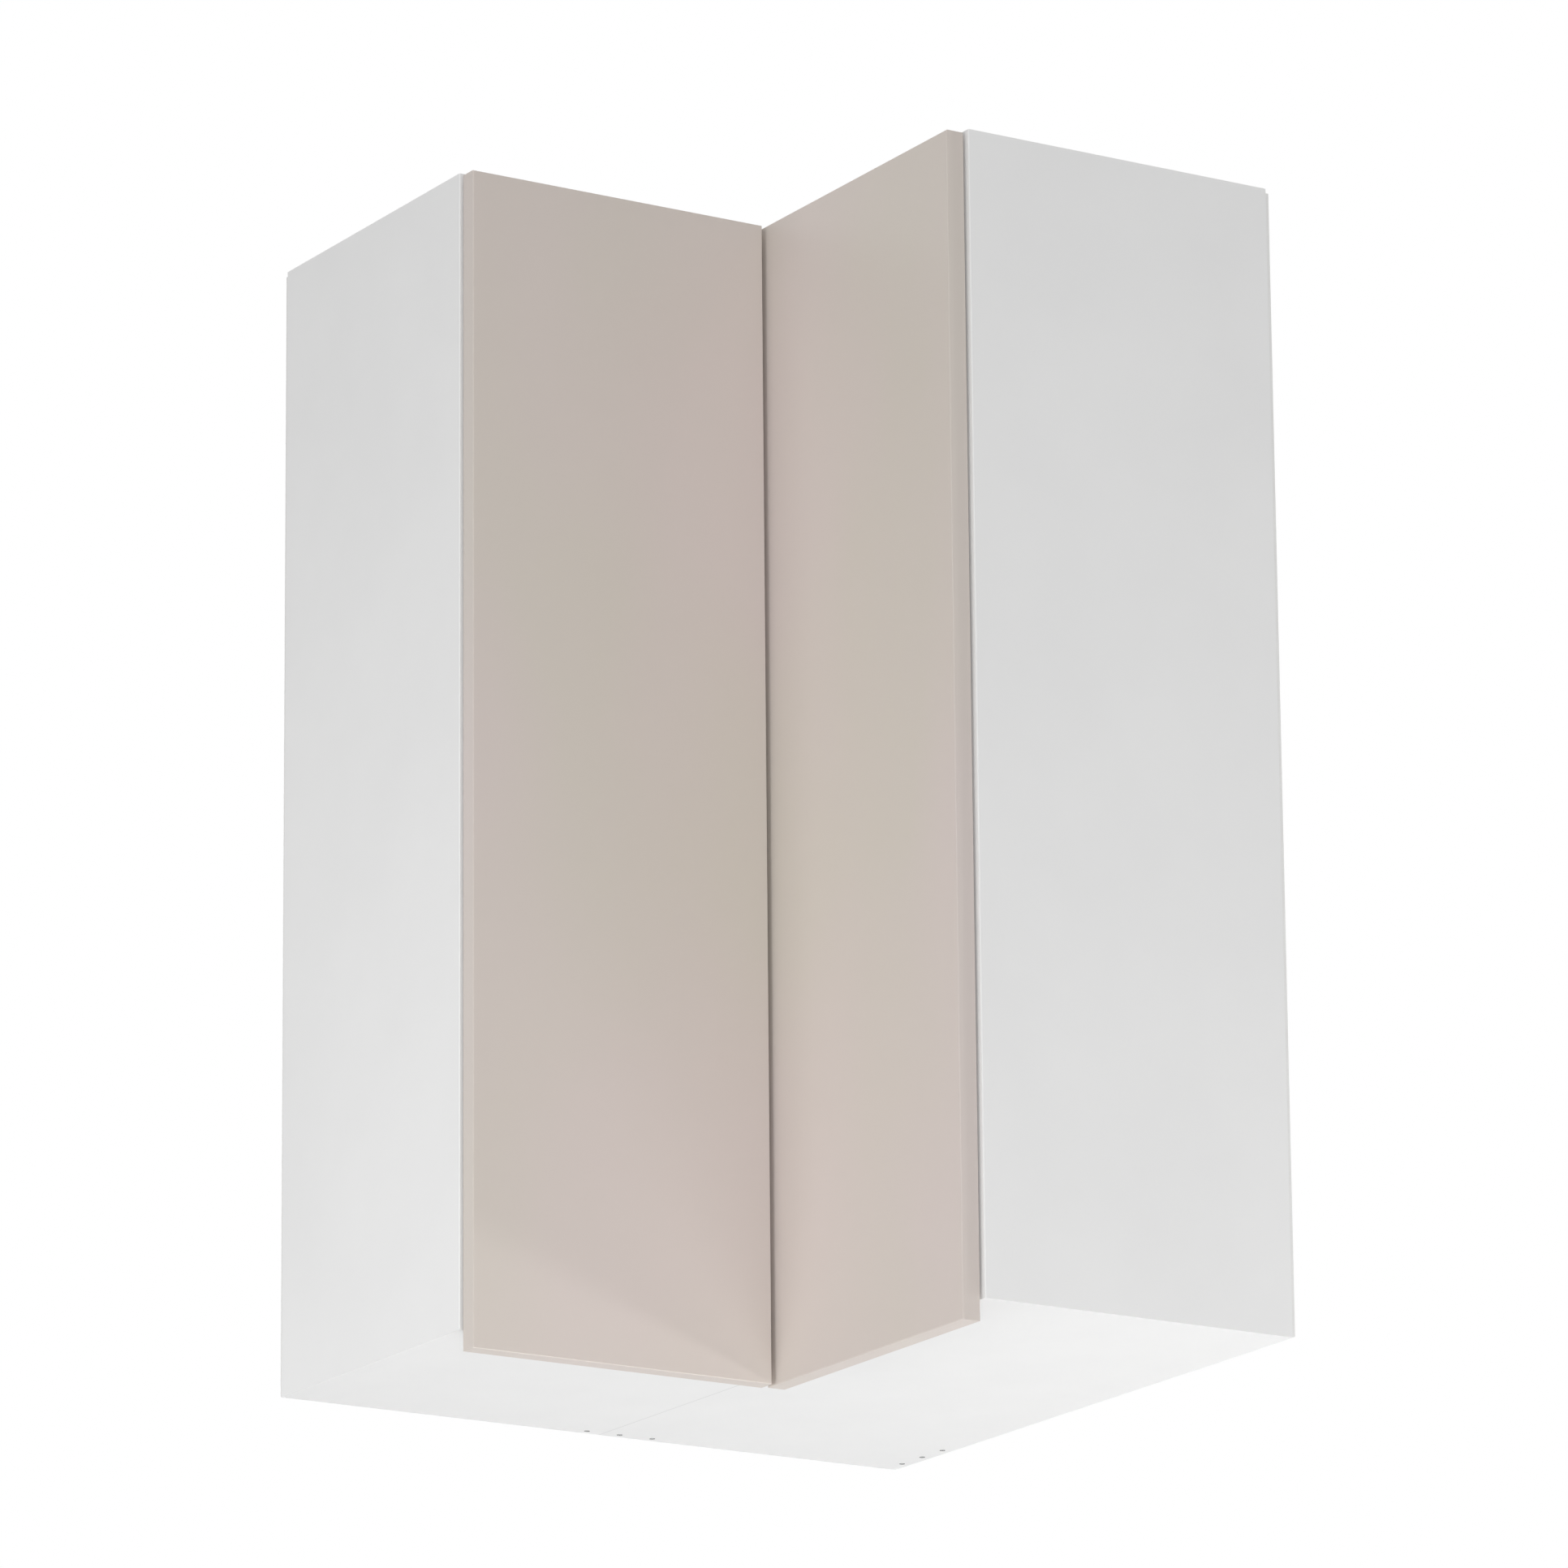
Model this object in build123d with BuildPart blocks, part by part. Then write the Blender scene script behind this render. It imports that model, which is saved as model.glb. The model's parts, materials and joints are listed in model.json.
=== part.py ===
from build123d import *
from math import atan2, cos, degrees, radians, sin
import os

os.makedirs("parts", exist_ok=True)

# Corner wall cabinet: two wings that meet in a room's corner, closed by two doors that fold as one.
# Frame: origin in the room's corner at the cabinet's underside, +Z up, the back wall is the plane
# y = 0 and the side wall is the plane x = 0. The left wing runs along -X, the right wing along -Y.

# ---- carcass ----
leg_left = 600.0          # left wing's boards, from their corner at the walls
leg_right = 600.0         # right wing's boards, from the same corner
depth = 295.0             # both wings' boards, rear edge to front edge
height = 980.0
board = 16.0              # all carcass boards
board_arris = 0.6         # broken edges of the boards that show
upright_width = 112.0     # the two boards that stiffen the back
upright_shift = 15.5      # back upright's middle, from the butt joint towards the corner
sheet = 3.0               # thin back panels
sheet_inset = 1.0         # back panels stop short of the outer faces
sheet_drop = 3.5          # back panels stop short of the top

# ---- doors ----
door_board = 16.0
door_gap = 2.0            # between the doors and the carcass
door_lip = 18.0           # doors reach below the carcass as a grip
door_top_reveal = 2.0
left_reveal = 2.5
right_reveal = 5.5
fold_gap = 4.0            # left door's inner end to the right door's face
fold_end_gap = 3.0        # right door's inner end, in front of the left door's rear face
door_arris = 0.8

# ---- shelves ----
shelf_count = 2
shelf_setback = 20.0      # behind the carcass front
shelf_play = 1.0          # to the sides
shelf_rear_play = 1.5     # to the uprights
shelf_corner = 12.0       # rounded inside corner
pin_radius = 2.5
pin_depth = 10.0          # in its hole
pin_hole_depth = 12.0
pin_tongue = 9.0          # part of a shelf pin that carries the shelf
pin_tongue_thick = 3.0
pin_tongue_width = 7.0
pin_collar = 4.0
pin_collar_thick = 1.5
pin_pitch = 32.0
pin_rows = 3              # holes around each shelf
pin_front = 60.0          # front row, behind the front edge
pin_rear = 225.0          # rear row, behind the front edge
seat = 0.1                # between a shelf and its pins

# ---- joints of the boards ----
screw_count = 3           # small-headed screws in each end of an upright
trim_head = 1.7
trim_head_length = 4.0
trim_shank = 1.3
trim_length = 45.0
trim_sunk = 1.2           # heads lie below the board's face
trim_pitch = 32.0
trim_edge = 24.0          # first screw, from the corner
cam_radius = 7.5
cam_depth = 12.0
cam_from_edge = 34.0      # cam's middle to the butted edge
cam_slot = 2.5            # width and depth of the screwdriver slot
cam_slot_length = 10.5
cam_window = 7.0          # opening in a cam for its bolt
cam_bolt_radius = 3.0
cam_bolt_thread = 2.5
cam_bolt_thread_length = 11.0
cam_bolt_short = 1.0      # bolts end before the cam's middle
cam_front = 50.0          # first fitting, behind the front edge
cam_rear = 245.0
dowel_radius = 4.0
dowel_length = 30.0
dowel_depth = 10.0        # part of a dowel in the side panel
dowel_step = 32.0         # from the fitting beside it
snug = 0.02               # radial play of fixed fasteners in their holes

# ---- sides of what is small or hidden, which keep the meshes light ----
bore_sides = 6
screw_sides = 6
dowel_sides = 8
knob_sides = 12           # cams, adjusters, bumpers and the eyes and ears of hinges
pot_sides = 24            # hinge cups and the pockets for them

# ---- wall hangers ----
hanger_width = 17.0
hanger_deep = 56.0
hanger_tall = 50.0
hanger_from_top = 26.0    # below the top board's underside
hanger_rear_gap = 6.0     # in front of the wall plane
hanger_corner = 4.0
hanger_sink = 3.0         # screws' heads, in the housing
hook_thick = 4.0
hook_arm = 9.0
hook_lip = 12.0
hook_lip_thick = 2.2
hook_corner = 1.5
hook_wall_gap = 0.3       # hook's lip, in front of the wall plane
hook_play = 1.0           # above and below the hook in its housing
hook_side_play = 0.2
hook_room = 8.0           # slot in the back panel, around the hook
hook_share = 0.7          # part of the housing's depth that the hook reaches through
hanger_screw_radius = 3.0
hanger_screw_head = 1.5
cover_wall = 1.2
cover_play = 0.3
cover_slot_play = 2.0     # above and below the hook
cover_window = (8.0, 14.0)  # screwdriver's way in, into the cover and upwards
cover_window_low = 1.0
adjuster_radius = 3.5
adjuster_length = 12.0
adjuster_proud = 1.0      # heads stand out of the hanger's front
adjuster_foot = 5.6       # lower adjuster, above the housing's underside
cross_length = 4.5        # cross recess in the adjusters
cross_width = 1.0
cross_depth = 1.5

# ---- wide-angle hinges, in a plane across the hinge ----
# "in" is measured from the left side's inner face, "back" from the carcass front plane.
hinge_margin = 100.0      # first and last hinge, from the carcass's ends
hinge_count = 3
arm_pivot_in = 4.3
arm_pivot_back = 3.7
mid_pivot_in = 24.8
mid_pivot_back = 11.8
cup_pivot_in = -1.2
cup_pivot_back = -9.9
hinge_pin = 1.5
running = 0.06            # radial play where a pin turns
eye = 2.9                 # radius round a pin
side_play = 0.3           # between plates that turn on one pin
link_thick = 1.6
bridge_length = 9.0       # joins the two plates of a link
bridge_bite = 0.5         # bridge's middle, outside the plates' edge
crank_half = 5.0          # half the crank's width
crank_eye = 2.7
neck = 2.4                # crank's thickness
neck_reach = 15.0         # cup pivot to the crank's bend
neck_angle = -3.2         # crank leaves the cup pivot at this angle
bend_round = 3.0
cup_radius = 17.5
cup_edge = 21.5           # cup's middle, from the door's end
cup_depth = 12.0
cup_floor = 0.8
cup_wall = 0.9            # left of the cup's hollow
cup_hollow_half = 6.2
cup_pin_bearing = 3.0     # pin's ends, in the cup's walls
flange_thick = 0.8
flange_radius = 19.0
ear_spacing = 45.0
ear_offset = 9.5          # flange screws, inboard of the cup's middle
ear_radius = 5.5
saddle_half = 6.5
saddle_thick = 5.0
saddle_start = 22.0       # behind the carcass front
saddle_end = 66.0
wing_back = 37.0          # plate screws, behind the carcass front
wing_spacing = 32.0
wing_radius = 7.0
wing_thick = 2.5
arm_sheet = 1.5
arm_top = 14.5            # top of the arm, from the side's face
arm_start = 14.0          # arm's top, behind the carcass front
arm_cheek_step = 6.0      # cheeks' lower edge rises to the front over this
arm_floor_start = 24.0    # strip that lies on the saddle
arm_end = 64.0
arm_screw_backs = (32.0, 54.0)
arm_screw_radius = 2.0
arm_screw_head = 3.5
arm_screw_head_thick = 2.0
arm_screw_play = 0.4
arm_hole_floor = 1.0      # left under the arm screws in the plates
arm_slot = (0.9, 1.0)     # screwdriver slot, width and depth

# ---- fold hinges, between the doors ----
fold_count = 2
fold_back = 7.0           # pin, behind the carcass front plane of both wings
fold_pin = 2.0
fold_eye = 4.0
fold_half = 8.0           # half the knuckle's height
fold_inner_half = 3.6
fold_strap = 4.0
fold_plate_start = 8.0    # plate, from the left door's inner end
fold_plate_length = 42.0
fold_plate_half = 24.0
fold_plate_thick = 2.0
fold_plate_corner = 4.0
fold_ear_foot = 4.0       # ears' rear end, from the plate's end
fold_ear_slope = 6.0
fold_screw_spacing = 32.0
fold_screw_start = 21.0   # plate's screws, from its inner end
fold_pot_wall = 2.5       # left around the cup's hollow
fold_arm_sunk = 10.0      # arm's root, below the right door's rear face
fold_arm_heel = 4.0       # root's outer end, outboard of the cup's middle
fold_arm_root = 6.0       # root's width along the door
fold_arm_bend = (4.8, 6.0)    # outer bend: above the rear face, inboard of the cup's middle
fold_arm_crook = (0.8, 10.0)  # inner bend
fold_arm_straight = 4.0   # in front of the pin

# ---- small screws and bumpers ----
wood_screw_head = 3.6
wood_screw_head_thick = 1.4
wood_screw_shank = 1.75
wood_screw_length = 13.0
euro_screw_head = 4.2
euro_screw_head_thick = 1.2
euro_screw_shank = 2.5
euro_screw_length = 12.0
tip_play = 0.5            # screws stop short of their holes' ends
bumper_radius = 4.0
bumper_thick = 1.6
bumper_arris = 0.5
bumper_inset = 36.0       # from the doors' ends

# ---- planes worked out from the sizes above ----
rear = -sheet
left_outer = rear - leg_left
left_inner = left_outer + board
right_outer = rear - leg_right
right_inner = right_outer + board
front = rear - depth
upright_front = rear - board
upright_high = height - board
back_pin_x = front + upright_shift
door_rear = front - door_gap
door_front = door_rear - door_board
door_bottom = -door_lip
door_top = height - door_top_reveal
left_door_outer = left_outer + left_reveal
left_door_inner = door_front - fold_gap
right_door_outer = right_outer + right_reveal
right_door_inner = door_rear - fold_end_gap
clear_height = (height - board * (shelf_count + 2)) / (shelf_count + 1)
shelf_heights = [board + clear_height + i * (clear_height + board) for i in range(shelf_count)]
hanger_top = height - board - hanger_from_top
hanger_low = hanger_top - hanger_tall
hanger_middle = -hanger_rear_gap - hanger_deep / 2
hook_line = hanger_top - hanger_tall / 2


def spread(count):
    """Heights of hinges, evenly spaced between the margins."""
    step = (height - 2 * hinge_margin) / (count - 1)
    return [hinge_margin + i * step for i in range(count)]


hinge_heights = spread(hinge_count)
fold_heights = spread(fold_count)


# ---- helpers ----
def finish(part, name):
    part.label = name
    export_step(part, "parts/" + name + ".step")


def drill(plane, points, radius, deep, sides=bore_sides):
    """Blind bores into a part, against the plane's normal. A round of that radius fits in them."""
    with BuildSketch(plane) as bores:
        with Locations(*points):
            RegularPolygon(radius, sides, major_radius=False)
    extrude(bores.sketch, amount=-deep, mode=Mode.SUBTRACT)


def strap(middle, length, radius, turn=0):
    """A strap with round ends, inside a sketch; length is between the ends' middles."""
    with Locations(Location(middle, turn)):
        with Locations((-length / 2, 0), (length / 2, 0)):
            RegularPolygon(radius, knob_sides)
    make_hull()


def face_x(x):
    """Plane across X: its sketch axes are Y and Z."""
    return Plane.YZ.offset(x)


def face_y(y):
    """Plane across Y: its sketch axes are X and Z, and it looks along -Y."""
    return Plane.XZ.offset(-y)


def rear_face(y):
    """Plane across Y: its sketch axes are -X and Z, and it looks along +Y."""
    return Plane(origin=(0, y, 0), x_dir=(-1, 0, 0), z_dir=(0, 1, 0))


def looks(x, y, z, direction):
    """Plane at a place, that looks along +X, -X, +Y, -Y, +Z or -Z; its X axis lies level."""
    level = (0, 1, 0) if direction[0] else (1, 0, 0)
    return Plane(origin=(x, y, z), x_dir=level, z_dir=direction)


def group(name, piece, spots):
    """The same piece at every spot, as one group."""
    with BuildPart() as pieces:
        for spot in spots:
            with Locations(spot):
                add(piece)
    finish(pieces.part, name)


def turned(steps, sides):
    """A pin or screw along Z, made of steps: (radius, from, to)."""
    with BuildPart() as piece:
        for radius, low, high in steps:
            with BuildSketch(Plane.XY.offset(low)):
                RegularPolygon(radius, sides)
            extrude(amount=high - low)
    return piece.part


def countersunk(head, head_thick, shank, length):
    """A screw with its flat head at z = 0, pointing down."""
    with BuildPart() as screw:
        with BuildSketch():
            RegularPolygon(head, screw_sides)
        with BuildSketch(Plane.XY.offset(-head_thick)):
            RegularPolygon(shank, screw_sides)
        loft()
        with BuildSketch(Plane.XY.offset(-head_thick)):
            RegularPolygon(shank, screw_sides)
        extrude(amount=-(length - head_thick))
    return screw.part


def both_wings(piece):
    """A piece at the left side panel, with its twin at the right side panel."""
    twin = mirror(piece, about=Plane(origin=(0, 0, 0), z_dir=(1, -1, 0)), mode=Mode.PRIVATE)
    with BuildPart() as pair:
        add(piece)
        with Locations((0, right_inner - left_inner, 0)):
            add(twin)
    return pair.part


# ---- side panels ----
# Every board that butts on a side is held by two cam fittings and two dowels.
fitting_depths = [front + cam_front, front + cam_rear]
dowel_depths = [front + cam_front + dowel_step, front + cam_rear - dowel_step]
board_middles = [board / 2, height - board / 2]
pin_middle = -(pin_tongue_thick / 2 + seat)
pin_levels = [shelf + pin_middle + (row - (pin_rows - 1) / 2) * pin_pitch
              for shelf in shelf_heights for row in range(pin_rows)]
pin_holes = [(front + back, level) for back in (pin_front, pin_rear) for level in pin_levels]
plate_holes = [(front + wing_back, mid + side * wing_spacing / 2)
               for mid in hinge_heights for side in (-1, 1)]
hanger_holes = [(hanger_middle + side * hanger_deep / 4, hook_line - side * hanger_tall / 4)
                for side in (-1, 1)]


def side_panel(name, outer_plane, inner_plane, flip, hinge_holes):
    """A side panel between two planes that look towards the compartment. flip is -1 where their
    sketch axis runs against the wing's."""
    with BuildPart() as panel:
        with BuildSketch(outer_plane):
            with Locations((flip * (front + rear) / 2, height / 2)):
                Rectangle(depth, height)
        extrude(amount=board)
        chamfer(panel.edges().filter_by(Axis.Z), board_arris)
        drill(inner_plane, [(flip * across, z) for across in fitting_depths for z in board_middles],
              cam_bolt_thread + snug, cam_bolt_thread_length)
        drill(inner_plane, [(flip * across, z) for across in dowel_depths for z in board_middles],
              dowel_radius + snug, dowel_depth, dowel_sides)
        drill(inner_plane, [(flip * across, z) for across, z in pin_holes],
              pin_radius + snug, pin_hole_depth)
        drill(inner_plane, [(flip * across, z) for across, z in hanger_holes],
              wood_screw_shank + snug, wood_screw_length)
        if hinge_holes:
            drill(inner_plane, hinge_holes, euro_screw_shank + snug, euro_screw_length)
    finish(panel.part, name)


side_panel("left_side_panel", face_x(left_outer), face_x(left_inner), 1, plate_holes)
side_panel("right_side_panel", rear_face(right_outer), rear_face(right_inner), -1, [])


# ---- bottom and top ----
# The right board runs the whole length of its wing and the left one butts on it.
corner_screws = [(rear - board / 2, rear - trim_edge - i * trim_pitch) for i in range(screw_count)]
back_screws = [(back_pin_x + (i - (screw_count - 1) / 2) * trim_pitch, rear - board / 2)
               for i in range(screw_count)]
right_board_cams = [(across, right_inner + cam_from_edge) for across in fitting_depths]
left_board_cams = [(left_inner + cam_from_edge, across) for across in fitting_depths]
seam_cams = [(front - cam_from_edge, across) for across in fitting_depths]
edge_dowel = dowel_length - dowel_depth


def edge_bores(edge, flip):
    """Bores for the bolts and dowels in a board's butted edge."""
    drill(edge, [(flip * across, 0) for across in fitting_depths], cam_bolt_radius + snug, cam_from_edge)
    drill(edge, [(flip * across, 0) for across in dowel_depths],
          dowel_radius + snug, edge_dowel, dowel_sides)


def carcass_board(name, low, right_wing, screws_from_below):
    """A top or bottom board. Its cams open upwards."""
    x_low, x_high = (front, rear) if right_wing else (left_inner, front)
    y_low, y_high = (right_inner, rear) if right_wing else (front, rear)
    middle = low + board / 2
    top = Plane.XY.offset(low + board)
    with BuildPart() as panel:
        with BuildSketch(Plane.XY.offset(low)):
            with Locations(((x_low + x_high) / 2, (y_low + y_high) / 2)):
                Rectangle(x_high - x_low, y_high - y_low)
        extrude(amount=board)
        if right_wing:
            drill(top, right_board_cams, cam_radius + snug, cam_depth, knob_sides)
            edge_bores(Plane(origin=(0, right_inner, middle), x_dir=(1, 0, 0), z_dir=(0, -1, 0)), 1)
            butt = Plane(origin=(front, 0, middle), x_dir=(0, -1, 0), z_dir=(-1, 0, 0))
            drill(butt, [(-across, 0) for across in fitting_depths],
                  cam_bolt_thread + snug, cam_bolt_thread_length)
            drill(butt, [(-across, 0) for across in dowel_depths], dowel_radius + snug, dowel_depth,
                  dowel_sides)
        else:
            drill(top, left_board_cams + seam_cams, cam_radius + snug, cam_depth, knob_sides)
            edge_bores(Plane(origin=(left_inner, 0, middle), x_dir=(0, -1, 0), z_dir=(-1, 0, 0)), -1)
            edge_bores(Plane(origin=(front, 0, middle), x_dir=(0, 1, 0), z_dir=(1, 0, 0)), 1)
        screws = [(x, y) for x, y in corner_screws + back_screws if x_low < x < x_high]
        head_face = looks(0, 0, low, (0, 0, -1)) if screws_from_below else top
        flip = -1 if screws_from_below else 1
        places = [(x, flip * y) for x, y in screws]
        drill(head_face, places, trim_shank + snug, board)
        drill(head_face, places, trim_head + snug, trim_sunk + trim_head_length)
    finish(panel.part, name)


carcass_board("bottom_board_right", 0, True, True)
carcass_board("bottom_board_left", 0, False, True)
carcass_board("top_board_right", height - board, True, False)
carcass_board("top_board_left", height - board, False, False)


# ---- uprights ----
screw_reach = trim_sunk + trim_length - board
corner_pin_y = rear - upright_width / 2
corner_box = (upright_front, rear, rear - upright_width, rear)
back_box = (back_pin_x - upright_width / 2, back_pin_x + upright_width / 2, upright_front, rear)


def upright(name, box, screws, pin_plane, pin_across):
    """A board that stands between the bottom and the top; box is its x and y limits."""
    x_low, x_high, y_low, y_high = box
    with BuildPart() as post:
        with BuildSketch(Plane.XY.offset(board)):
            with Locations(((x_low + x_high) / 2, (y_low + y_high) / 2)):
                Rectangle(x_high - x_low, y_high - y_low)
        extrude(amount=upright_high - board)
        drill(Plane.XY.offset(upright_high), screws, trim_shank + snug, screw_reach)
        drill(looks(0, 0, board, (0, 0, -1)), [(x, -y) for x, y in screws], trim_shank + snug, screw_reach)
        drill(pin_plane, [(pin_across, level) for level in pin_levels], pin_radius + snug, pin_hole_depth)
    finish(post.part, name)


corner_face = Plane(origin=(upright_front, 0, 0), x_dir=(0, -1, 0), z_dir=(-1, 0, 0))
upright("corner_upright", corner_box, corner_screws, corner_face, -corner_pin_y)
upright("back_upright", back_box, back_screws, face_y(upright_front), back_pin_x)


# ---- back panels ----
hook_middle = hanger_width / 2
hook_low = hook_line - hook_arm / 2
hook_high = hook_line + hook_arm / 2
slot_low = hook_low - hook_lip - hook_room
slot_high = hook_high + hook_room


def back_panel(name, plane, outer_end, hook_across):
    """A thin panel behind one wing, with a slot for the hanger's hook."""
    with BuildPart() as panel:
        with BuildSketch(plane):
            with Locations(((outer_end + rear) / 2, (sheet_inset + height - sheet_drop) / 2)):
                Rectangle(rear - outer_end, height - sheet_drop - sheet_inset)
            with Locations((hook_across, (slot_high + slot_low) / 2)):
                Rectangle(hook_thick + 2 * hook_room, slot_high - slot_low, mode=Mode.SUBTRACT)
        extrude(amount=sheet)
    finish(panel.part, name)


back_panel("back_panel_left", face_y(0), left_outer + sheet_inset, left_inner + hook_middle)
back_panel("back_panel_right", face_x(rear), right_outer + sheet_inset, right_inner + hook_middle)


# ---- shelves ----
shelf_front = front + shelf_setback
shelf_rear = upright_front - shelf_rear_play
for number, low in enumerate(shelf_heights, start=1):
    with BuildPart() as shelf:
        with BuildSketch(Plane.XY.offset(low)):
            with BuildLine():
                Polyline((shelf_rear, shelf_rear),
                         (left_inner + shelf_play, shelf_rear),
                         (left_inner + shelf_play, shelf_front),
                         (shelf_front, shelf_front),
                         (shelf_front, right_inner + shelf_play),
                         (shelf_rear, right_inner + shelf_play),
                         close=True)
            make_face()
            fillet(vertices().sort_by_distance((shelf_front, shelf_front, low))[0], shelf_corner)
        extrude(amount=board)
    finish(shelf.part, "shelf_" + str(number))

# pins: the collar and the tongue are level on top, so that the shelf lies on both
with BuildPart() as shelf_pin:
    with BuildSketch(Plane.XY.offset(-pin_depth)):
        RegularPolygon(pin_radius, bore_sides)
    extrude(amount=pin_depth)
    with BuildSketch():
        RegularPolygon(pin_collar, knob_sides)
        with Locations((0, -pin_tongue_thick / 2 - pin_collar)):
            Rectangle(2 * pin_collar, 2 * pin_collar, mode=Mode.SUBTRACT)
    extrude(amount=pin_collar_thick)
    with BuildSketch(Plane.XY.offset(pin_collar_thick)):
        Rectangle(pin_tongue_width, pin_tongue_thick)
    extrude(amount=pin_tongue - pin_collar_thick)

pin_spots = []
for shelf_low in shelf_heights:
    level = shelf_low + pin_middle
    for across in (front + pin_front, front + pin_rear):
        pin_spots.append(Plane(origin=(left_inner, across, level), x_dir=(0, -1, 0), z_dir=(1, 0, 0)))
        pin_spots.append(Plane(origin=(across, right_inner, level), x_dir=(1, 0, 0), z_dir=(0, 1, 0)))
    pin_spots.append(Plane(origin=(upright_front, corner_pin_y, level), x_dir=(0, 1, 0), z_dir=(-1, 0, 0)))
    pin_spots.append(Plane(origin=(back_pin_x, upright_front, level), x_dir=(-1, 0, 0), z_dir=(0, -1, 0)))
group("shelf_pins", shelf_pin.part, pin_spots)


# ---- fasteners of the boards ----
trim_screw = turned([(trim_head, -trim_sunk - trim_head_length, -trim_sunk),
                     (trim_shank, -trim_sunk - trim_length, -trim_sunk - trim_head_length)], screw_sides)
group("upright_screws", trim_screw,
      [looks(x, y, z, (0, 0, way)) for x, y in corner_screws + back_screws
       for z, way in ((0, -1), (height, 1))])

# cams: a drum with a screwdriver slot, open to its bolt at the side
with BuildPart() as cam:
    with BuildSketch():
        RegularPolygon(cam_radius, knob_sides)
    extrude(amount=-cam_depth)
    with BuildSketch():
        Rectangle(cam_slot_length, cam_slot)
    extrude(amount=-cam_slot, mode=Mode.SUBTRACT)
    with BuildSketch(Plane.YZ):
        with Locations((0, -board / 2)):
            Rectangle(cam_window, cam_window)
    extrude(amount=cam_radius, mode=Mode.SUBTRACT)

# bolts: a plain neck that reaches the cam, and a thread in the next board
cam_bolt = turned([(cam_bolt_thread, -cam_bolt_thread_length, 0),
                   (cam_bolt_radius, 0, cam_from_edge - cam_bolt_short)], screw_sides)
dowel = turned([(dowel_radius, -dowel_depth, dowel_length - dowel_depth)], dowel_sides)

cam_spots = []
bolt_spots = []
dowel_spots = []
for low in (0, height - board):
    lid = low + board
    middle = low + board / 2
    for sites, toward in ((left_board_cams, (-1, 0, 0)), (seam_cams, (1, 0, 0)),
                          (right_board_cams, (0, -1, 0))):
        cam_spots += [Plane(origin=(x, y, lid), x_dir=toward, z_dir=(0, 0, 1)) for x, y in sites]
    for across_places, spots in ((fitting_depths, bolt_spots), (dowel_depths, dowel_spots)):
        spots += [looks(left_inner, across, middle, (1, 0, 0)) for across in across_places]
        spots += [looks(front, across, middle, (-1, 0, 0)) for across in across_places]
        spots += [looks(across, right_inner, middle, (0, 1, 0)) for across in across_places]
group("cam_drums", cam.part, cam_spots)
group("cam_bolts", cam_bolt, bolt_spots)
group("dowels", dowel, dowel_spots)


# ---- wall hangers ----
# One beside each side panel. Each is built for the left one.
hanger_front = -hanger_rear_gap - hanger_deep
hanger_face = face_x(left_inner + hanger_width)
hook_tip = -hook_wall_gap
hook_plane = face_x(left_inner + hook_middle - hook_thick / 2)
hook_tail = hanger_front + hanger_deep * (1 - hook_share)
adjuster_levels = (hook_line, hanger_low + adjuster_foot)

with BuildPart() as housing:
    with BuildSketch(face_x(left_inner)):
        with Locations((hanger_middle, hook_line)):
            Rectangle(hanger_deep, hanger_tall)
        chamfer(vertices(), hanger_corner)
    extrude(amount=hanger_width)
    # slot for the hook, open to the rear
    with BuildSketch(hook_plane.offset(-hook_side_play)):
        with Locations(((hook_tail - hook_play - hanger_rear_gap) / 2, hook_line)):
            Rectangle(-hanger_rear_gap - hook_tail + hook_play, hook_arm + 2 * hook_play)
    extrude(amount=hook_thick + 2 * hook_side_play, mode=Mode.SUBTRACT)
    drill(face_y(hanger_front), [(left_inner + hook_middle, z) for z in adjuster_levels],
          adjuster_radius + snug, adjuster_length - adjuster_proud, knob_sides)
    drill(hanger_face, hanger_holes, hanger_screw_radius + snug, hanger_sink)
    drill(hanger_face, hanger_holes, wood_screw_shank + snug, hanger_width)
finish(both_wings(housing.part), "hanger_housings")

with BuildPart() as hook:
    with BuildSketch(hook_plane):
        with BuildLine():
            Polyline((hook_tail, hook_low), (hook_tail, hook_high), (hook_tip, hook_high),
                     (hook_tip, hook_low - hook_lip), (hook_tip - hook_lip_thick, hook_low - hook_lip),
                     (hook_tip - hook_lip_thick, hook_low), close=True)
        make_face()
        chamfer(vertices().sort_by_distance((left_inner + hook_middle, hook_tip, hook_high))[0], hook_corner)
    extrude(amount=hook_thick)
finish(both_wings(hook.part), "hanger_hooks")

with BuildPart() as adjuster:
    with BuildSketch(Plane.XY.offset(adjuster_proud)):
        RegularPolygon(adjuster_radius, knob_sides)
    extrude(amount=-adjuster_length)
    with BuildSketch(Plane.XY.offset(adjuster_proud)):
        Rectangle(cross_length, cross_width)
        Rectangle(cross_width, cross_length)
    extrude(amount=-cross_depth, mode=Mode.SUBTRACT)
with BuildPart() as adjusters:
    for z in adjuster_levels:
        with Locations(looks(left_inner + hook_middle, hanger_front, z, (0, -1, 0))):
            add(adjuster.part)
finish(both_wings(adjusters.part), "hanger_adjusters")

hanger_screw = countersunk(hanger_screw_radius, hanger_screw_head, wood_screw_shank,
                           hanger_width - hanger_sink + hanger_screw_head + wood_screw_length - tip_play)
with BuildPart() as hanger_screws:
    for y, z in hanger_holes:
        with Locations(looks(left_inner + hanger_width - hanger_sink + hanger_screw_head, y, z, (1, 0, 0))):
            add(hanger_screw)
finish(both_wings(hanger_screws.part), "hanger_screws")

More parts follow.
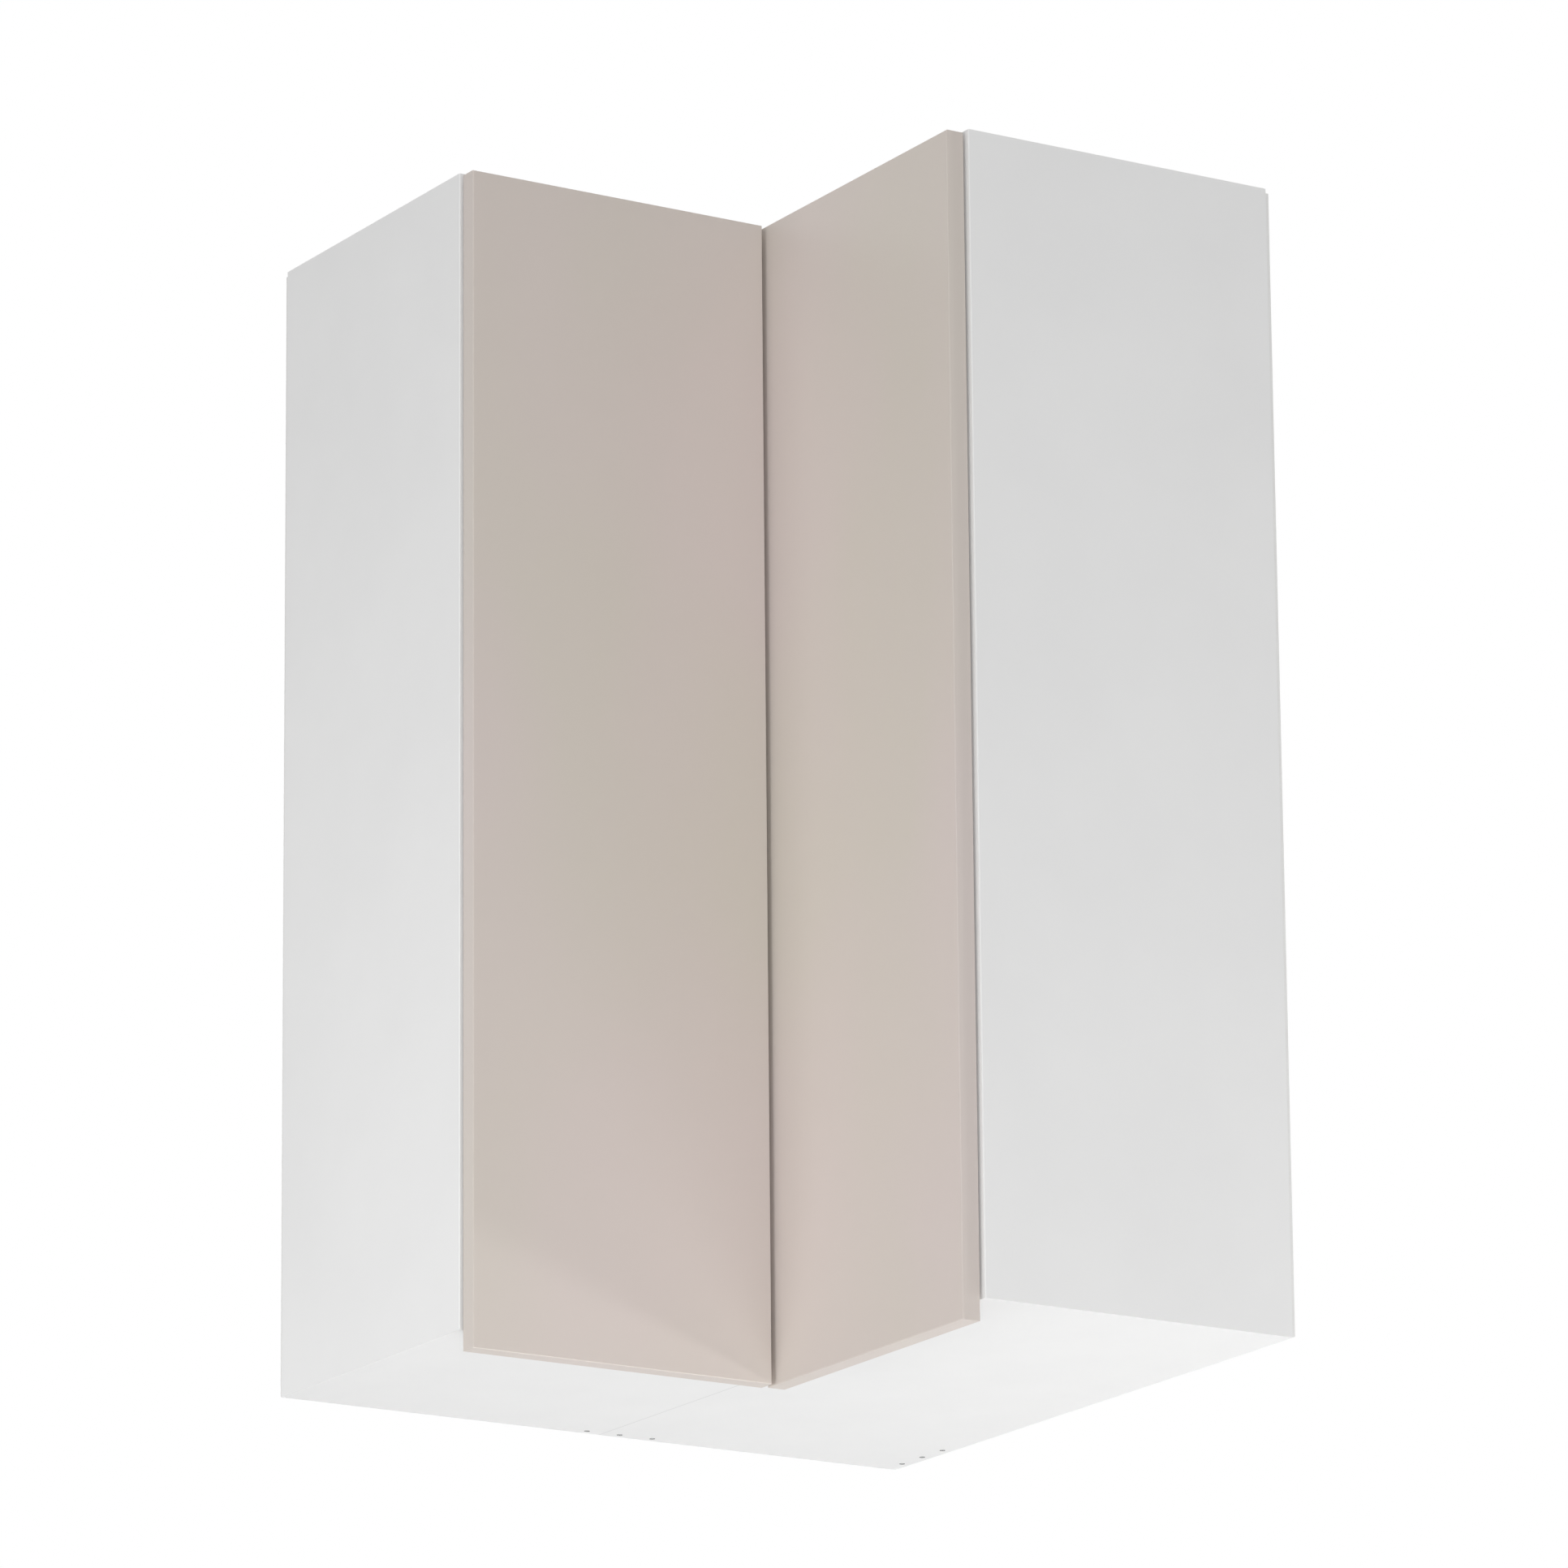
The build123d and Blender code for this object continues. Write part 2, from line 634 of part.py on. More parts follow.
# cap over each hanger, open at the rear for the hook and at the front for a screwdriver
with BuildPart() as cover:
    for play, reach, way in ((cover_play + cover_wall, hanger_width + cover_play + cover_wall, Mode.ADD),
                             (cover_play, hanger_width + cover_play, Mode.SUBTRACT)):
        with BuildSketch(face_x(left_inner)) as outline:
            with Locations((hanger_middle, hook_line)):
                Rectangle(hanger_deep + 2 * play, hanger_tall + 2 * play)
            chamfer(outline.vertices(), hanger_corner + play)
        extrude(outline.sketch, amount=reach, mode=way)
    with BuildSketch(face_x(left_inner)) as ways_in:
        with Locations((-hanger_rear_gap, hook_line)):
            Rectangle(hanger_deep / 2, hook_arm + 2 * cover_slot_play)
        with Locations((hanger_front, hanger_low + cover_window_low + cover_window[1] / 2)):
            Rectangle(2 * cover_window[0], cover_window[1])
        with Locations((hanger_front, hook_line)):
            Rectangle(2 * cover_window[0], hook_arm + 2 * cover_slot_play)
    extrude(ways_in.sketch, amount=hanger_width, mode=Mode.SUBTRACT)
finish(both_wings(cover.part), "hanger_covers")


# ---- doors ----
cup_middle = left_door_outer + cup_edge
fold_cup_y = right_door_inner - cup_edge
cup_screws = [(cup_middle + ear_offset, mid + side * ear_spacing / 2)
              for mid in hinge_heights for side in (-1, 1)]
fold_cup_screws = [(fold_cup_y - ear_offset, mid + side * ear_spacing / 2)
                   for mid in fold_heights for side in (-1, 1)]
fold_screw_x = left_door_inner - fold_plate_start - fold_screw_start
fold_plate_screws = [(fold_screw_x, mid + side * fold_screw_spacing / 2)
                     for mid in fold_heights for side in (-1, 1)]
left_door_back = rear_face(door_rear)
right_door_back = face_x(door_rear)

with BuildPart() as left_door:
    with BuildSketch(face_y(door_rear)):
        with Locations(((left_door_outer + left_door_inner) / 2, (door_bottom + door_top) / 2)):
            Rectangle(left_door_inner - left_door_outer, door_top - door_bottom)
    extrude(amount=door_board)
    fillet(left_door.faces().sort_by(Axis.Y)[0].edges(), door_arris)
    drill(left_door_back, [(-cup_middle, mid) for mid in hinge_heights],
          cup_radius + snug, cup_depth, pot_sides)
    drill(left_door_back, [(-x, z) for x, z in cup_screws + fold_plate_screws],
          wood_screw_shank + snug, wood_screw_length)
finish(left_door.part, "left_door")

with BuildPart() as right_door:
    with BuildSketch(face_x(door_front)):
        with Locations(((right_door_outer + right_door_inner) / 2, (door_bottom + door_top) / 2)):
            Rectangle(right_door_inner - right_door_outer, door_top - door_bottom)
    extrude(amount=door_board)
    fillet(right_door.faces().sort_by(Axis.X)[0].edges(), door_arris)
    drill(right_door_back, [(fold_cup_y, mid) for mid in fold_heights],
          cup_radius + snug, cup_depth, pot_sides)
    drill(right_door_back, fold_cup_screws, wood_screw_shank + snug, wood_screw_length)
finish(right_door.part, "right_door")


# ---- wide-angle hinges ----
# Each stands on a plate on the left side. The arm holds the first pin, two link plates swing on
# it, a bent crank swings on their far pin, and the crank's other end turns on the pin in the cup.
def in_x(inward):
    """X of a place measured from the left side's inner face."""
    return left_inner + inward


def back_y(back):
    """Y of a place measured from the carcass front plane."""
    return front + back


arm_pin = (in_x(arm_pivot_in), back_y(arm_pivot_back))
mid_pin = (in_x(mid_pivot_in), back_y(mid_pivot_back))
cup_pin = (in_x(cup_pivot_in), back_y(cup_pivot_back))
link_outer = crank_half + side_play + link_thick
arm_inner = link_outer + side_play
arm_outer = arm_inner + arm_sheet


def pins(name, heights, place, radius, half):
    """Round pins, one for each hinge, across the hinge's plane."""
    with BuildPart() as row:
        for mid in heights:
            with BuildSketch(Plane.XY.offset(mid - half)):
                with Locations(place):
                    Circle(radius)
            extrude(amount=2 * half)
    finish(row.part, name)


with BuildPart() as hinge_plates:
    for mid in hinge_heights:
        with BuildSketch(face_x(left_inner)):
            strap((back_y(wing_back), mid), wing_spacing, wing_radius, 90)
        extrude(amount=wing_thick)
        with BuildSketch(face_x(left_inner)):
            with Locations((back_y((saddle_start + saddle_end) / 2), mid)):
                Rectangle(saddle_end - saddle_start, 2 * saddle_half)
        extrude(amount=saddle_thick)
    drill(face_x(in_x(wing_thick)), plate_holes, euro_screw_shank + snug, wing_thick)
    drill(face_x(in_x(wing_thick)), plate_holes, euro_screw_head + snug, euro_screw_head_thick)
    arm_holes = [(back_y(back), mid) for mid in hinge_heights for back in arm_screw_backs]
    drill(face_x(in_x(saddle_thick)), arm_holes, arm_screw_radius + snug, saddle_thick - arm_hole_floor)
finish(hinge_plates.part, "hinge_plates")

plate_screw = countersunk(euro_screw_head, euro_screw_head_thick, euro_screw_shank,
                          euro_screw_length + wing_thick - tip_play)
group("hinge_plate_screws", plate_screw, [looks(in_x(wing_thick), y, z, (1, 0, 0)) for y, z in plate_holes])

# arm: two cheeks joined by a top, on a strip that lies on the saddle
with BuildPart() as hinge_arms:
    for mid in hinge_heights:
        with BuildSketch(Plane.XY.offset(mid - arm_outer)):
            with BuildLine():
                Polyline((in_x(saddle_thick), back_y(arm_end)),
                         (in_x(arm_top), back_y(arm_end)),
                         (in_x(arm_top), back_y(arm_start)),
                         (in_x(arm_pivot_in + eye), back_y(arm_pivot_back)),
                         (in_x(arm_pivot_in - eye), back_y(arm_pivot_back)),
                         (in_x(arm_pivot_in - eye), back_y(arm_start)),
                         (in_x(saddle_thick), back_y(arm_start + arm_cheek_step)), close=True)
            make_face()
            with Locations(arm_pin):
                RegularPolygon(eye, knob_sides)
        extrude(amount=2 * arm_outer)
        # hollow under the top, and nothing but the cheeks in front of it
        with BuildSketch(Plane.XY.offset(mid - arm_inner)):
            with Locations((in_x((arm_top - arm_sheet) / 2), back_y(arm_end / 2))):
                Rectangle(arm_top - arm_sheet, arm_end + 2 * side_play)
            with Locations((in_x(arm_pivot_in + eye), back_y(arm_start / 2 - eye))):
                Rectangle(2 * arm_top, arm_start + 2 * eye)
        extrude(amount=2 * arm_inner, mode=Mode.SUBTRACT)
        with BuildSketch(face_x(in_x(saddle_thick))):
            with Locations((back_y((arm_floor_start + arm_end) / 2), mid)):
                Rectangle(arm_end - arm_floor_start, 2 * arm_inner)
        extrude(amount=arm_sheet)
        with BuildSketch(Plane.XY.offset(mid - arm_outer)):
            with Locations(arm_pin):
                RegularPolygon(hinge_pin + snug, knob_sides, major_radius=False)
        extrude(amount=2 * arm_outer, mode=Mode.SUBTRACT)
    arm_face = face_x(in_x(arm_top))
    drill(arm_face, arm_holes, arm_screw_head + arm_screw_play, arm_top - saddle_thick - arm_sheet)
    drill(arm_face, arm_holes, arm_screw_radius + snug, arm_top - saddle_thick)
finish(hinge_arms.part, "hinge_arms")

with BuildPart() as arm_screw:
    with BuildSketch():
        RegularPolygon(arm_screw_head, knob_sides)
    extrude(amount=arm_screw_head_thick)
    with BuildSketch():
        RegularPolygon(arm_screw_radius, screw_sides)
    extrude(amount=-(arm_sheet + saddle_thick - arm_hole_floor - tip_play))
    with BuildSketch(Plane.XY.offset(arm_screw_head_thick)):
        Rectangle(2 * arm_screw_head, arm_slot[0])
    extrude(amount=-arm_slot[1], mode=Mode.SUBTRACT)
group("hinge_arm_screws", arm_screw.part,
      [looks(in_x(saddle_thick + arm_sheet), y, z, (1, 0, 0)) for y, z in arm_holes])
pins("hinge_arm_pins", hinge_heights, arm_pin, hinge_pin, arm_outer)

# links: two plates with a bridge along their rear edge
link_span = (mid_pin[0] - arm_pin[0], mid_pin[1] - arm_pin[1])
link_length = (link_span[0] ** 2 + link_span[1] ** 2) ** 0.5
link_angle = degrees(atan2(link_span[1], link_span[0]))
link_middle = ((arm_pin[0] + mid_pin[0]) / 2, (arm_pin[1] + mid_pin[1]) / 2)
with BuildPart() as hinge_links:
    for mid in hinge_heights:
        for low in (mid - link_outer, mid + link_outer - link_thick):
            with BuildSketch(Plane.XY.offset(low)):
                strap(link_middle, link_length, eye, link_angle)
                with Locations(arm_pin):
                    RegularPolygon(hinge_pin + running, knob_sides, major_radius=False, mode=Mode.SUBTRACT)
                with Locations(mid_pin):
                    RegularPolygon(hinge_pin + snug, knob_sides, major_radius=False, mode=Mode.SUBTRACT)
            extrude(amount=link_thick)
        with BuildSketch(Plane.XY.offset(mid - link_outer)):
            with Locations(Location(link_middle, link_angle)):
                with Locations((0, eye + bridge_bite)):
                    Rectangle(bridge_length, link_thick)
        extrude(amount=2 * link_outer)
finish(hinge_links.part, "hinge_links")
pins("hinge_middle_pins", hinge_heights, mid_pin, hinge_pin, link_outer)

# crank: a bent strap that lies in the cup and bends round the door's end when it opens
neck_bend = (cup_pin[0] + neck_reach * cos(radians(neck_angle)),
             cup_pin[1] + neck_reach * sin(radians(neck_angle)))
with BuildPart() as hinge_cranks:
    for mid in hinge_heights:
        with BuildSketch(Plane.XY.offset(mid - crank_half)):
            with BuildLine():
                FilletPolyline(cup_pin, neck_bend, mid_pin, radius=bend_round)
            trace(line_width=neck)
            with Locations(cup_pin, mid_pin):
                RegularPolygon(crank_eye, knob_sides)
                RegularPolygon(hinge_pin + running, knob_sides, major_radius=False, mode=Mode.SUBTRACT)
        extrude(amount=2 * crank_half)
finish(hinge_cranks.part, "hinge_cranks")


# ---- cups ----
def cup_with_flange(plane, across, mid, ear_way):
    """A pot let into a door, with a flange and ears for two screws; open inside a part block."""
    with BuildSketch(plane) as pot:
        with Locations((across, mid)):
            RegularPolygon(cup_radius, pot_sides)
    extrude(pot.sketch, amount=-(cup_depth - snug))
    with BuildSketch(plane) as flange:
        strap((across + ear_way * ear_offset, mid), ear_spacing, ear_radius, 90)
        with Locations((across, mid)):
            RegularPolygon(flange_radius, pot_sides)
    extrude(flange.sketch, amount=flange_thick)


hollow_left = cup_middle - cup_radius + cup_wall
hollow_right = cup_middle + cup_radius - cup_wall
cup_pin_half = cup_hollow_half + cup_pin_bearing
with BuildPart() as hinge_cups:
    for mid in hinge_heights:
        cup_with_flange(left_door_back, -cup_middle, mid, -1)
        with BuildSketch(left_door_back.offset(flange_thick)):
            with Locations((-(hollow_left + hollow_right) / 2, mid)):
                Rectangle(hollow_right - hollow_left, 2 * cup_hollow_half)
        extrude(amount=-(flange_thick + cup_depth - cup_floor), mode=Mode.SUBTRACT)
        with BuildSketch(Plane.XY.offset(mid - cup_pin_half)):
            with Locations(cup_pin):
                RegularPolygon(hinge_pin + snug, knob_sides, major_radius=False)
        extrude(amount=2 * cup_pin_half, mode=Mode.SUBTRACT)
    drill(left_door_back.offset(flange_thick), [(-x, z) for x, z in cup_screws],
          wood_screw_head + snug, flange_thick)
finish(hinge_cups.part, "hinge_cups")
pins("hinge_cup_pins", hinge_heights, cup_pin, hinge_pin, cup_pin_half - snug)

flange_screw = countersunk(wood_screw_head, flange_thick, wood_screw_shank,
                           wood_screw_length + flange_thick - tip_play)
group("hinge_cup_screws", flange_screw,
      [looks(x, door_rear + flange_thick, z, (0, 1, 0)) for x, z in cup_screws])


# ---- fold hinges ----
# One pin behind the doors' corner. The left door carries a plate with two ears, and the right
# door a cup whose arm ends in the eye between them.
fold_place = (front + fold_back, front + fold_back)
fold_x, fold_y = fold_place
strap_half = fold_strap / 2
fold_outer = fold_inner_half + side_play
plate_right = left_door_inner - fold_plate_start
plate_left = plate_right - fold_plate_length
plate_back = door_rear + fold_plate_thick
with BuildPart() as fold_plates:
    for mid in fold_heights:
        with BuildSketch(left_door_back):
            with Locations((-(plate_left + plate_right) / 2, mid)):
                Rectangle(fold_plate_length, 2 * fold_plate_half)
            chamfer(vertices(), fold_plate_corner)
        extrude(amount=fold_plate_thick)
        for low in (mid - fold_half, mid + fold_outer):
            with BuildSketch(Plane.XY.offset(low)):
                with BuildLine():
                    Polyline((plate_left + fold_ear_foot, plate_back),
                             (plate_left + fold_ear_foot + fold_ear_slope, fold_y + strap_half),
                             (fold_x, fold_y + strap_half),
                             (fold_x, fold_y - strap_half),
                             (plate_right, fold_y - strap_half),
                             (plate_right, plate_back), close=True)
                make_face()
                with Locations(fold_place):
                    RegularPolygon(fold_eye, knob_sides)
                    RegularPolygon(fold_pin + snug, knob_sides, major_radius=False, mode=Mode.SUBTRACT)
            extrude(amount=fold_half - fold_outer)
    fold_plate_face = left_door_back.offset(fold_plate_thick)
    fold_plate_holes = [(-x, z) for x, z in fold_plate_screws]
    drill(fold_plate_face, fold_plate_holes, wood_screw_shank + snug, fold_plate_thick)
    drill(fold_plate_face, fold_plate_holes, wood_screw_head + snug, wood_screw_head_thick)
finish(fold_plates.part, "fold_hinge_plates")
pins("fold_hinge_pins", fold_heights, fold_place, fold_pin, fold_half)

fold_plate_screw = countersunk(wood_screw_head, wood_screw_head_thick, wood_screw_shank,
                               wood_screw_length + fold_plate_thick - tip_play)
group("fold_plate_screws", fold_plate_screw,
      [looks(x, plate_back, z, (0, 1, 0)) for x, z in fold_plate_screws])

arm_root = door_rear - fold_arm_sunk
with BuildPart() as fold_cups:
    for mid in fold_heights:
        cup_with_flange(right_door_back, fold_cup_y, mid, -1)
        # hollow round the arm's root
        with BuildSketch(right_door_back.offset(flange_thick)):
            with Locations((fold_cup_y, mid)):
                Rectangle(2 * (cup_radius - fold_pot_wall), 2 * cup_hollow_half)
        extrude(amount=-(flange_thick + cup_depth - fold_pot_wall), mode=Mode.SUBTRACT)
        with BuildSketch(Plane.XY.offset(mid - fold_inner_half)):
            with BuildLine():
                Polyline((arm_root, fold_cup_y - fold_arm_heel),
                         (door_rear + fold_arm_bend[0], fold_cup_y + fold_arm_bend[1]),
                         (fold_x + strap_half, fold_y - fold_arm_straight),
                         (fold_x + strap_half, fold_y),
                         (fold_x - strap_half, fold_y),
                         (fold_x - strap_half, fold_y - fold_arm_straight),
                         (door_rear + fold_arm_crook[0], fold_cup_y + fold_arm_crook[1]),
                         (arm_root, fold_cup_y - fold_arm_heel + fold_arm_root), close=True)
            make_face()
            with Locations(fold_place):
                RegularPolygon(fold_eye, knob_sides)
                RegularPolygon(fold_pin + running, knob_sides, major_radius=False, mode=Mode.SUBTRACT)
        extrude(amount=2 * fold_inner_half)
    drill(right_door_back.offset(flange_thick), fold_cup_screws, wood_screw_head + snug, flange_thick)
finish(fold_cups.part, "fold_hinge_cups")
group("fold_cup_screws", flange_screw,
      [looks(door_rear + flange_thick, y, z, (1, 0, 0)) for y, z in fold_cup_screws])


# ---- bumpers ----
with BuildPart() as bumper:
    with BuildSketch():
        RegularPolygon(bumper_radius, knob_sides)
    extrude(amount=bumper_thick)
    chamfer(bumper.faces().sort_by(Axis.Z)[-1].edges(), bumper_arris)
group("left_door_bumpers", bumper.part,
      [looks(left_door_inner - bumper_inset, door_rear, z, (0, 1, 0)) for z in board_middles])
group("right_door_bumpers", bumper.part,
      [looks(door_rear, right_door_outer + bumper_inset, z, (1, 0, 0)) for z in board_middles])
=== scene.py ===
import bpy
import bmesh
import json
from math import acos, asin, atan2, cos, degrees, pi, radians, sin
from mathutils import Matrix, Vector


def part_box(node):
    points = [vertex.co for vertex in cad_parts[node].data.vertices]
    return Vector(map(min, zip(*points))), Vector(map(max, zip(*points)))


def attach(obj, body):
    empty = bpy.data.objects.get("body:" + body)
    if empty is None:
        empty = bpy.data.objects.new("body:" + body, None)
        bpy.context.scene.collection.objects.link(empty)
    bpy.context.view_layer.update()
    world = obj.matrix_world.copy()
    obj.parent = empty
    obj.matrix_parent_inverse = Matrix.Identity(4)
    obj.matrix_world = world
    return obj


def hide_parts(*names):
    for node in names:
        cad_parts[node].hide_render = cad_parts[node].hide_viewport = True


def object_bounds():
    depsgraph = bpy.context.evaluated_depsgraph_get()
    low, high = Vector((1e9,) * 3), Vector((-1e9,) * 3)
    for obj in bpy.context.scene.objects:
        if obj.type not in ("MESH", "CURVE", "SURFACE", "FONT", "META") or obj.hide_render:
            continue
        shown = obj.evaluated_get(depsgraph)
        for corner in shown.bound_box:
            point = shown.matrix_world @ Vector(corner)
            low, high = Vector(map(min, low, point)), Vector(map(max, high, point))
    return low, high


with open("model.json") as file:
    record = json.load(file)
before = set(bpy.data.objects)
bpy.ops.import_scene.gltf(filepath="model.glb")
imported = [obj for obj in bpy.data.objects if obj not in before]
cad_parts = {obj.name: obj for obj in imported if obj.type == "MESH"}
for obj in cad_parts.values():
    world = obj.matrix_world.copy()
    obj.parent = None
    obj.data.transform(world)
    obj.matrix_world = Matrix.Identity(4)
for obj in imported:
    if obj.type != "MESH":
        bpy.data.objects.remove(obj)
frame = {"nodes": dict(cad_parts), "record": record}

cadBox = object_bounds()
nodes = frame["nodes"]
mm = 0.001
front = -298.0          # the carcass's front edges, and the line where its boards butt
midHeight = 0.5         # metres: solids below it belong to the bottom, the others to the top
weldGap = 0.001 * mm    # points nearer than this are one


# the camera stands where the photograph's did: in front of the cabinet and below it
cameraView = {
    "place": (-4.405, -6.916, -1.701),
    "yaw": 31.86,       # from +Y towards +X
    "pitch": 15.76,     # upwards
    "roll": -0.52,
    "lens": 223.6,      # on a 36 mm sensor
    "reach": 60,        # metres
}


def makeCamera():
    yaw, pitch, roll = (radians(cameraView[k]) for k in ("yaw", "pitch", "roll"))
    ahead = Vector((sin(yaw) * cos(pitch), cos(yaw) * cos(pitch), sin(pitch)))
    level = Vector((cos(yaw), -sin(yaw), 0))
    up = level.cross(ahead)
    right = level * cos(roll) + up * sin(roll)
    up = right.cross(ahead)
    data = bpy.data.cameras.new("camera")
    data.lens = cameraView["lens"]
    data.clip_end = cameraView["reach"]
    camera = bpy.data.objects.new("camera", data)
    facing = Matrix((right, up, -ahead)).transposed().to_4x4()
    camera.matrix_world = Matrix.Translation(cameraView["place"]) @ facing
    bpy.context.scene.collection.objects.link(camera)
    bpy.context.scene.camera = camera


makeCamera()
print("camera placed")


# helpers for materials
def newMaterial(name, look, metallic=0.0):
    material = bpy.data.materials.new(name)
    material.use_nodes = True
    tree = material.node_tree
    shader = tree.nodes["Principled BSDF"]
    shader.inputs["Base Color"].default_value = (*look["colour"], 1)
    shader.inputs["Roughness"].default_value = look["roughness"]
    shader.inputs["Metallic"].default_value = metallic
    shader.inputs["Specular IOR Level"].default_value = look["specular"]
    return material, tree, shader


def objectCoords(tree, stretch=(1, 1, 1)):
    coords = tree.nodes.new("ShaderNodeTexCoord")
    mapping = tree.nodes.new("ShaderNodeMapping")
    mapping.inputs["Scale"].default_value = stretch
    tree.links.new(coords.outputs["Object"], mapping.inputs["Vector"])
    return mapping.outputs["Vector"]


def noise(tree, where, scale, detail=2.0, rough=0.5):
    node = tree.nodes.new("ShaderNodeTexNoise")
    node.inputs["Scale"].default_value = scale
    node.inputs["Detail"].default_value = detail
    node.inputs["Roughness"].default_value = rough
    tree.links.new(where, node.inputs["Vector"])
    return node.outputs["Fac"]


def remap(tree, value, low, high, start=0.3, end=0.7):
    # noise lies mostly between 0.3 and 0.7, which is stretched to low and high
    node = tree.nodes.new("ShaderNodeMapRange")
    node.inputs["From Min"].default_value = start
    node.inputs["From Max"].default_value = end
    node.inputs["To Min"].default_value = low
    node.inputs["To Max"].default_value = high
    tree.links.new(value, node.inputs["Value"])
    return node.outputs["Result"]


def reckon(tree, operation, first, second):
    node = tree.nodes.new("ShaderNodeMath")
    node.operation = operation
    for socket, value in zip(node.inputs, (first, second)):
        if isinstance(value, float):
            socket.default_value = value
        else:
            tree.links.new(value, socket)
    return node.outputs["Value"]


def blendColours(tree, amount, first, second):
    node = tree.nodes.new("ShaderNodeMix")
    node.data_type = "RGBA"
    tree.links.new(amount, node.inputs["Factor"])
    for socket, value in ((node.inputs["A"], first), (node.inputs["B"], second)):
        if isinstance(value, tuple):
            socket.default_value = (*value, 1)
        else:
            tree.links.new(value, socket)
    return node.outputs["Result"]


def patchy(tree, shader, amount, first, second):
    # the surface's colour wanders between two
    tree.links.new(blendColours(tree, remap(tree, amount, 0, 1), first, second), shader.inputs["Base Color"])


def finishSurface(tree, shader, sheen, height, look):
    # uneven shine, and a fine relief
    tree.links.new(remap(tree, sheen, *look["rough"]), shader.inputs["Roughness"])
    node = tree.nodes.new("ShaderNodeBump")
    node.inputs["Strength"].default_value = look["bump"]
    node.inputs["Distance"].default_value = look["relief"]
    tree.links.new(height, node.inputs["Height"])
    tree.links.new(node.outputs["Normal"], shader.inputs["Normal"])


# white board: noises are (scale, detail), relief is in metres
boardLook = {"colour": (0.86, 0.86, 0.857), "shade": (0.84, 0.84, 0.838), "roughness": 0.35,
             "rough": (0.30, 0.40), "specular": 0.42, "cloud": (9, 3), "pearl": (1400, 1),
             "bump": 0.05, "relief": 0.0001}
# painted shade: the grey of the line where two boards butt, standing in for the shade in their joint
buttShadeLine = {"half": 0.6, "shade": (0.66, 0.66, 0.66)}


def whiteBoard(name, butted=False):
    # melamine: a very fine pearl, a little cloudiness and a satin shine
    material, tree, shader = newMaterial(name, boardLook)
    where = objectCoords(tree)
    cloud = noise(tree, where, *boardLook["cloud"])
    pearl = noise(tree, where, *boardLook["pearl"])
    colour = blendColours(tree, remap(tree, cloud, 0, 1), boardLook["colour"], boardLook["shade"])
    if butted:
        # painted shade: a fine grey line where the edge bands of two boards butt, standing in for the shade in
        # the joint
        split = tree.nodes.new("ShaderNodeSeparateXYZ")
        tree.links.new(where, split.inputs["Vector"])
        across, half = split.outputs["X"], buttShadeLine["half"] * mm
        start = remap(tree, across, 0, 1, front * mm - half, front * mm - half / 2)
        end = remap(tree, across, 1, 0, front * mm + half / 2, front * mm + half)
        colour = blendColours(tree, reckon(tree, "MULTIPLY", start, end), colour, buttShadeLine["shade"])
    tree.links.new(colour, shader.inputs["Base Color"])
    finishSurface(tree, shader, cloud, pearl, boardLook)
    return material


sheetLook = {"colour": (0.83, 0.83, 0.82), "shade": (0.79, 0.79, 0.78), "roughness": 0.55,
             "rough": (0.5, 0.62), "specular": 0.3, "fibre": (420, 4, 0.65), "stretch": (1, 1, 2.5),
             "bump": 0.15, "relief": 0.0002}


def backSheet():
    # hardboard with a white painted face: short fibres under the paint
    material, tree, shader = newMaterial("back_sheet", sheetLook)
    fibre = noise(tree, objectCoords(tree, sheetLook["stretch"]), *sheetLook["fibre"])
    patchy(tree, shader, fibre, sheetLook["colour"], sheetLook["shade"])
    finishSurface(tree, shader, fibre, fibre, sheetLook)
    return material


doorLook = {"colour": (0.65, 0.588, 0.549), "warm": (0.663, 0.590, 0.558), "cool": (0.643, 0.593, 0.534),
            "roughness": 0.38, "rough": (0.34, 0.42), "specular": 0.42, "stretch": (1, 1, 0.55),
            "cloud": (3.2, 2), "edges": (0.4, 0.6), "fine": (28.8, 3), "calm": 0.35, "peel": (260, 1),
            "bump": 0.04, "relief": 0.0003}


def doorPaint():
    # satin paint: wide, faint warm and cool clouds, and the paint's own fine orange peel
    material, tree, shader = newMaterial("door_paint", doorLook)
    where = objectCoords(tree, doorLook["stretch"])
    cloud = noise(tree, where, *doorLook["cloud"])
    fine = noise(tree, where, *doorLook["fine"])
    peel = noise(tree, objectCoords(tree), *doorLook["peel"])
    mixed = blendColours(tree, remap(tree, cloud, 0, 1, *doorLook["edges"]), doorLook["warm"], doorLook["cool"])
    tree.links.new(blendColours(tree, remap(tree, fine, 0, doorLook["calm"]), mixed, doorLook["colour"]),
                   shader.inputs["Base Color"])
    finishSurface(tree, shader, fine, peel, doorLook)
    return material


steelLook = {"roughness": 0.3, "specular": 0.5, "stretch": (1, 1, 0.12), "patch": (90, 3),
             "bump": 0.08, "relief": 0.0001}
zincLook = {**steelLook, "colour": (0.60, 0.61, 0.63), "shade": (0.50, 0.51, 0.53), "rough": (0.28, 0.45),
            "drawn": (700, 2)}
# painted shade: near-black zinc for the uprights' screws and the rings round them, standing in for the shade in
# their holes
holeShadeZincLook = {**steelLook, "colour": (0.10, 0.10, 0.105), "shade": (0.06, 0.06, 0.065),
                "rough": (0.42, 0.58), "drawn": (700, 2)}
nickelLook = {**steelLook, "colour": (0.70, 0.69, 0.66), "shade": (0.62, 0.61, 0.58), "rough": (0.20, 0.32),
              "drawn": (900, 2)}


def platedSteel(name, look):
    # plating over stamped steel: fine drawn lines and slightly uneven shine
    material, tree, shader = newMaterial(name, look, 1.0)
    drawn = noise(tree, objectCoords(tree, look["stretch"]), *look["drawn"])
    patch = noise(tree, objectCoords(tree), *look["patch"])
    patchy(tree, shader, patch, look["colour"], look["shade"])
    finishSurface(tree, shader, drawn, drawn, look)
    return material


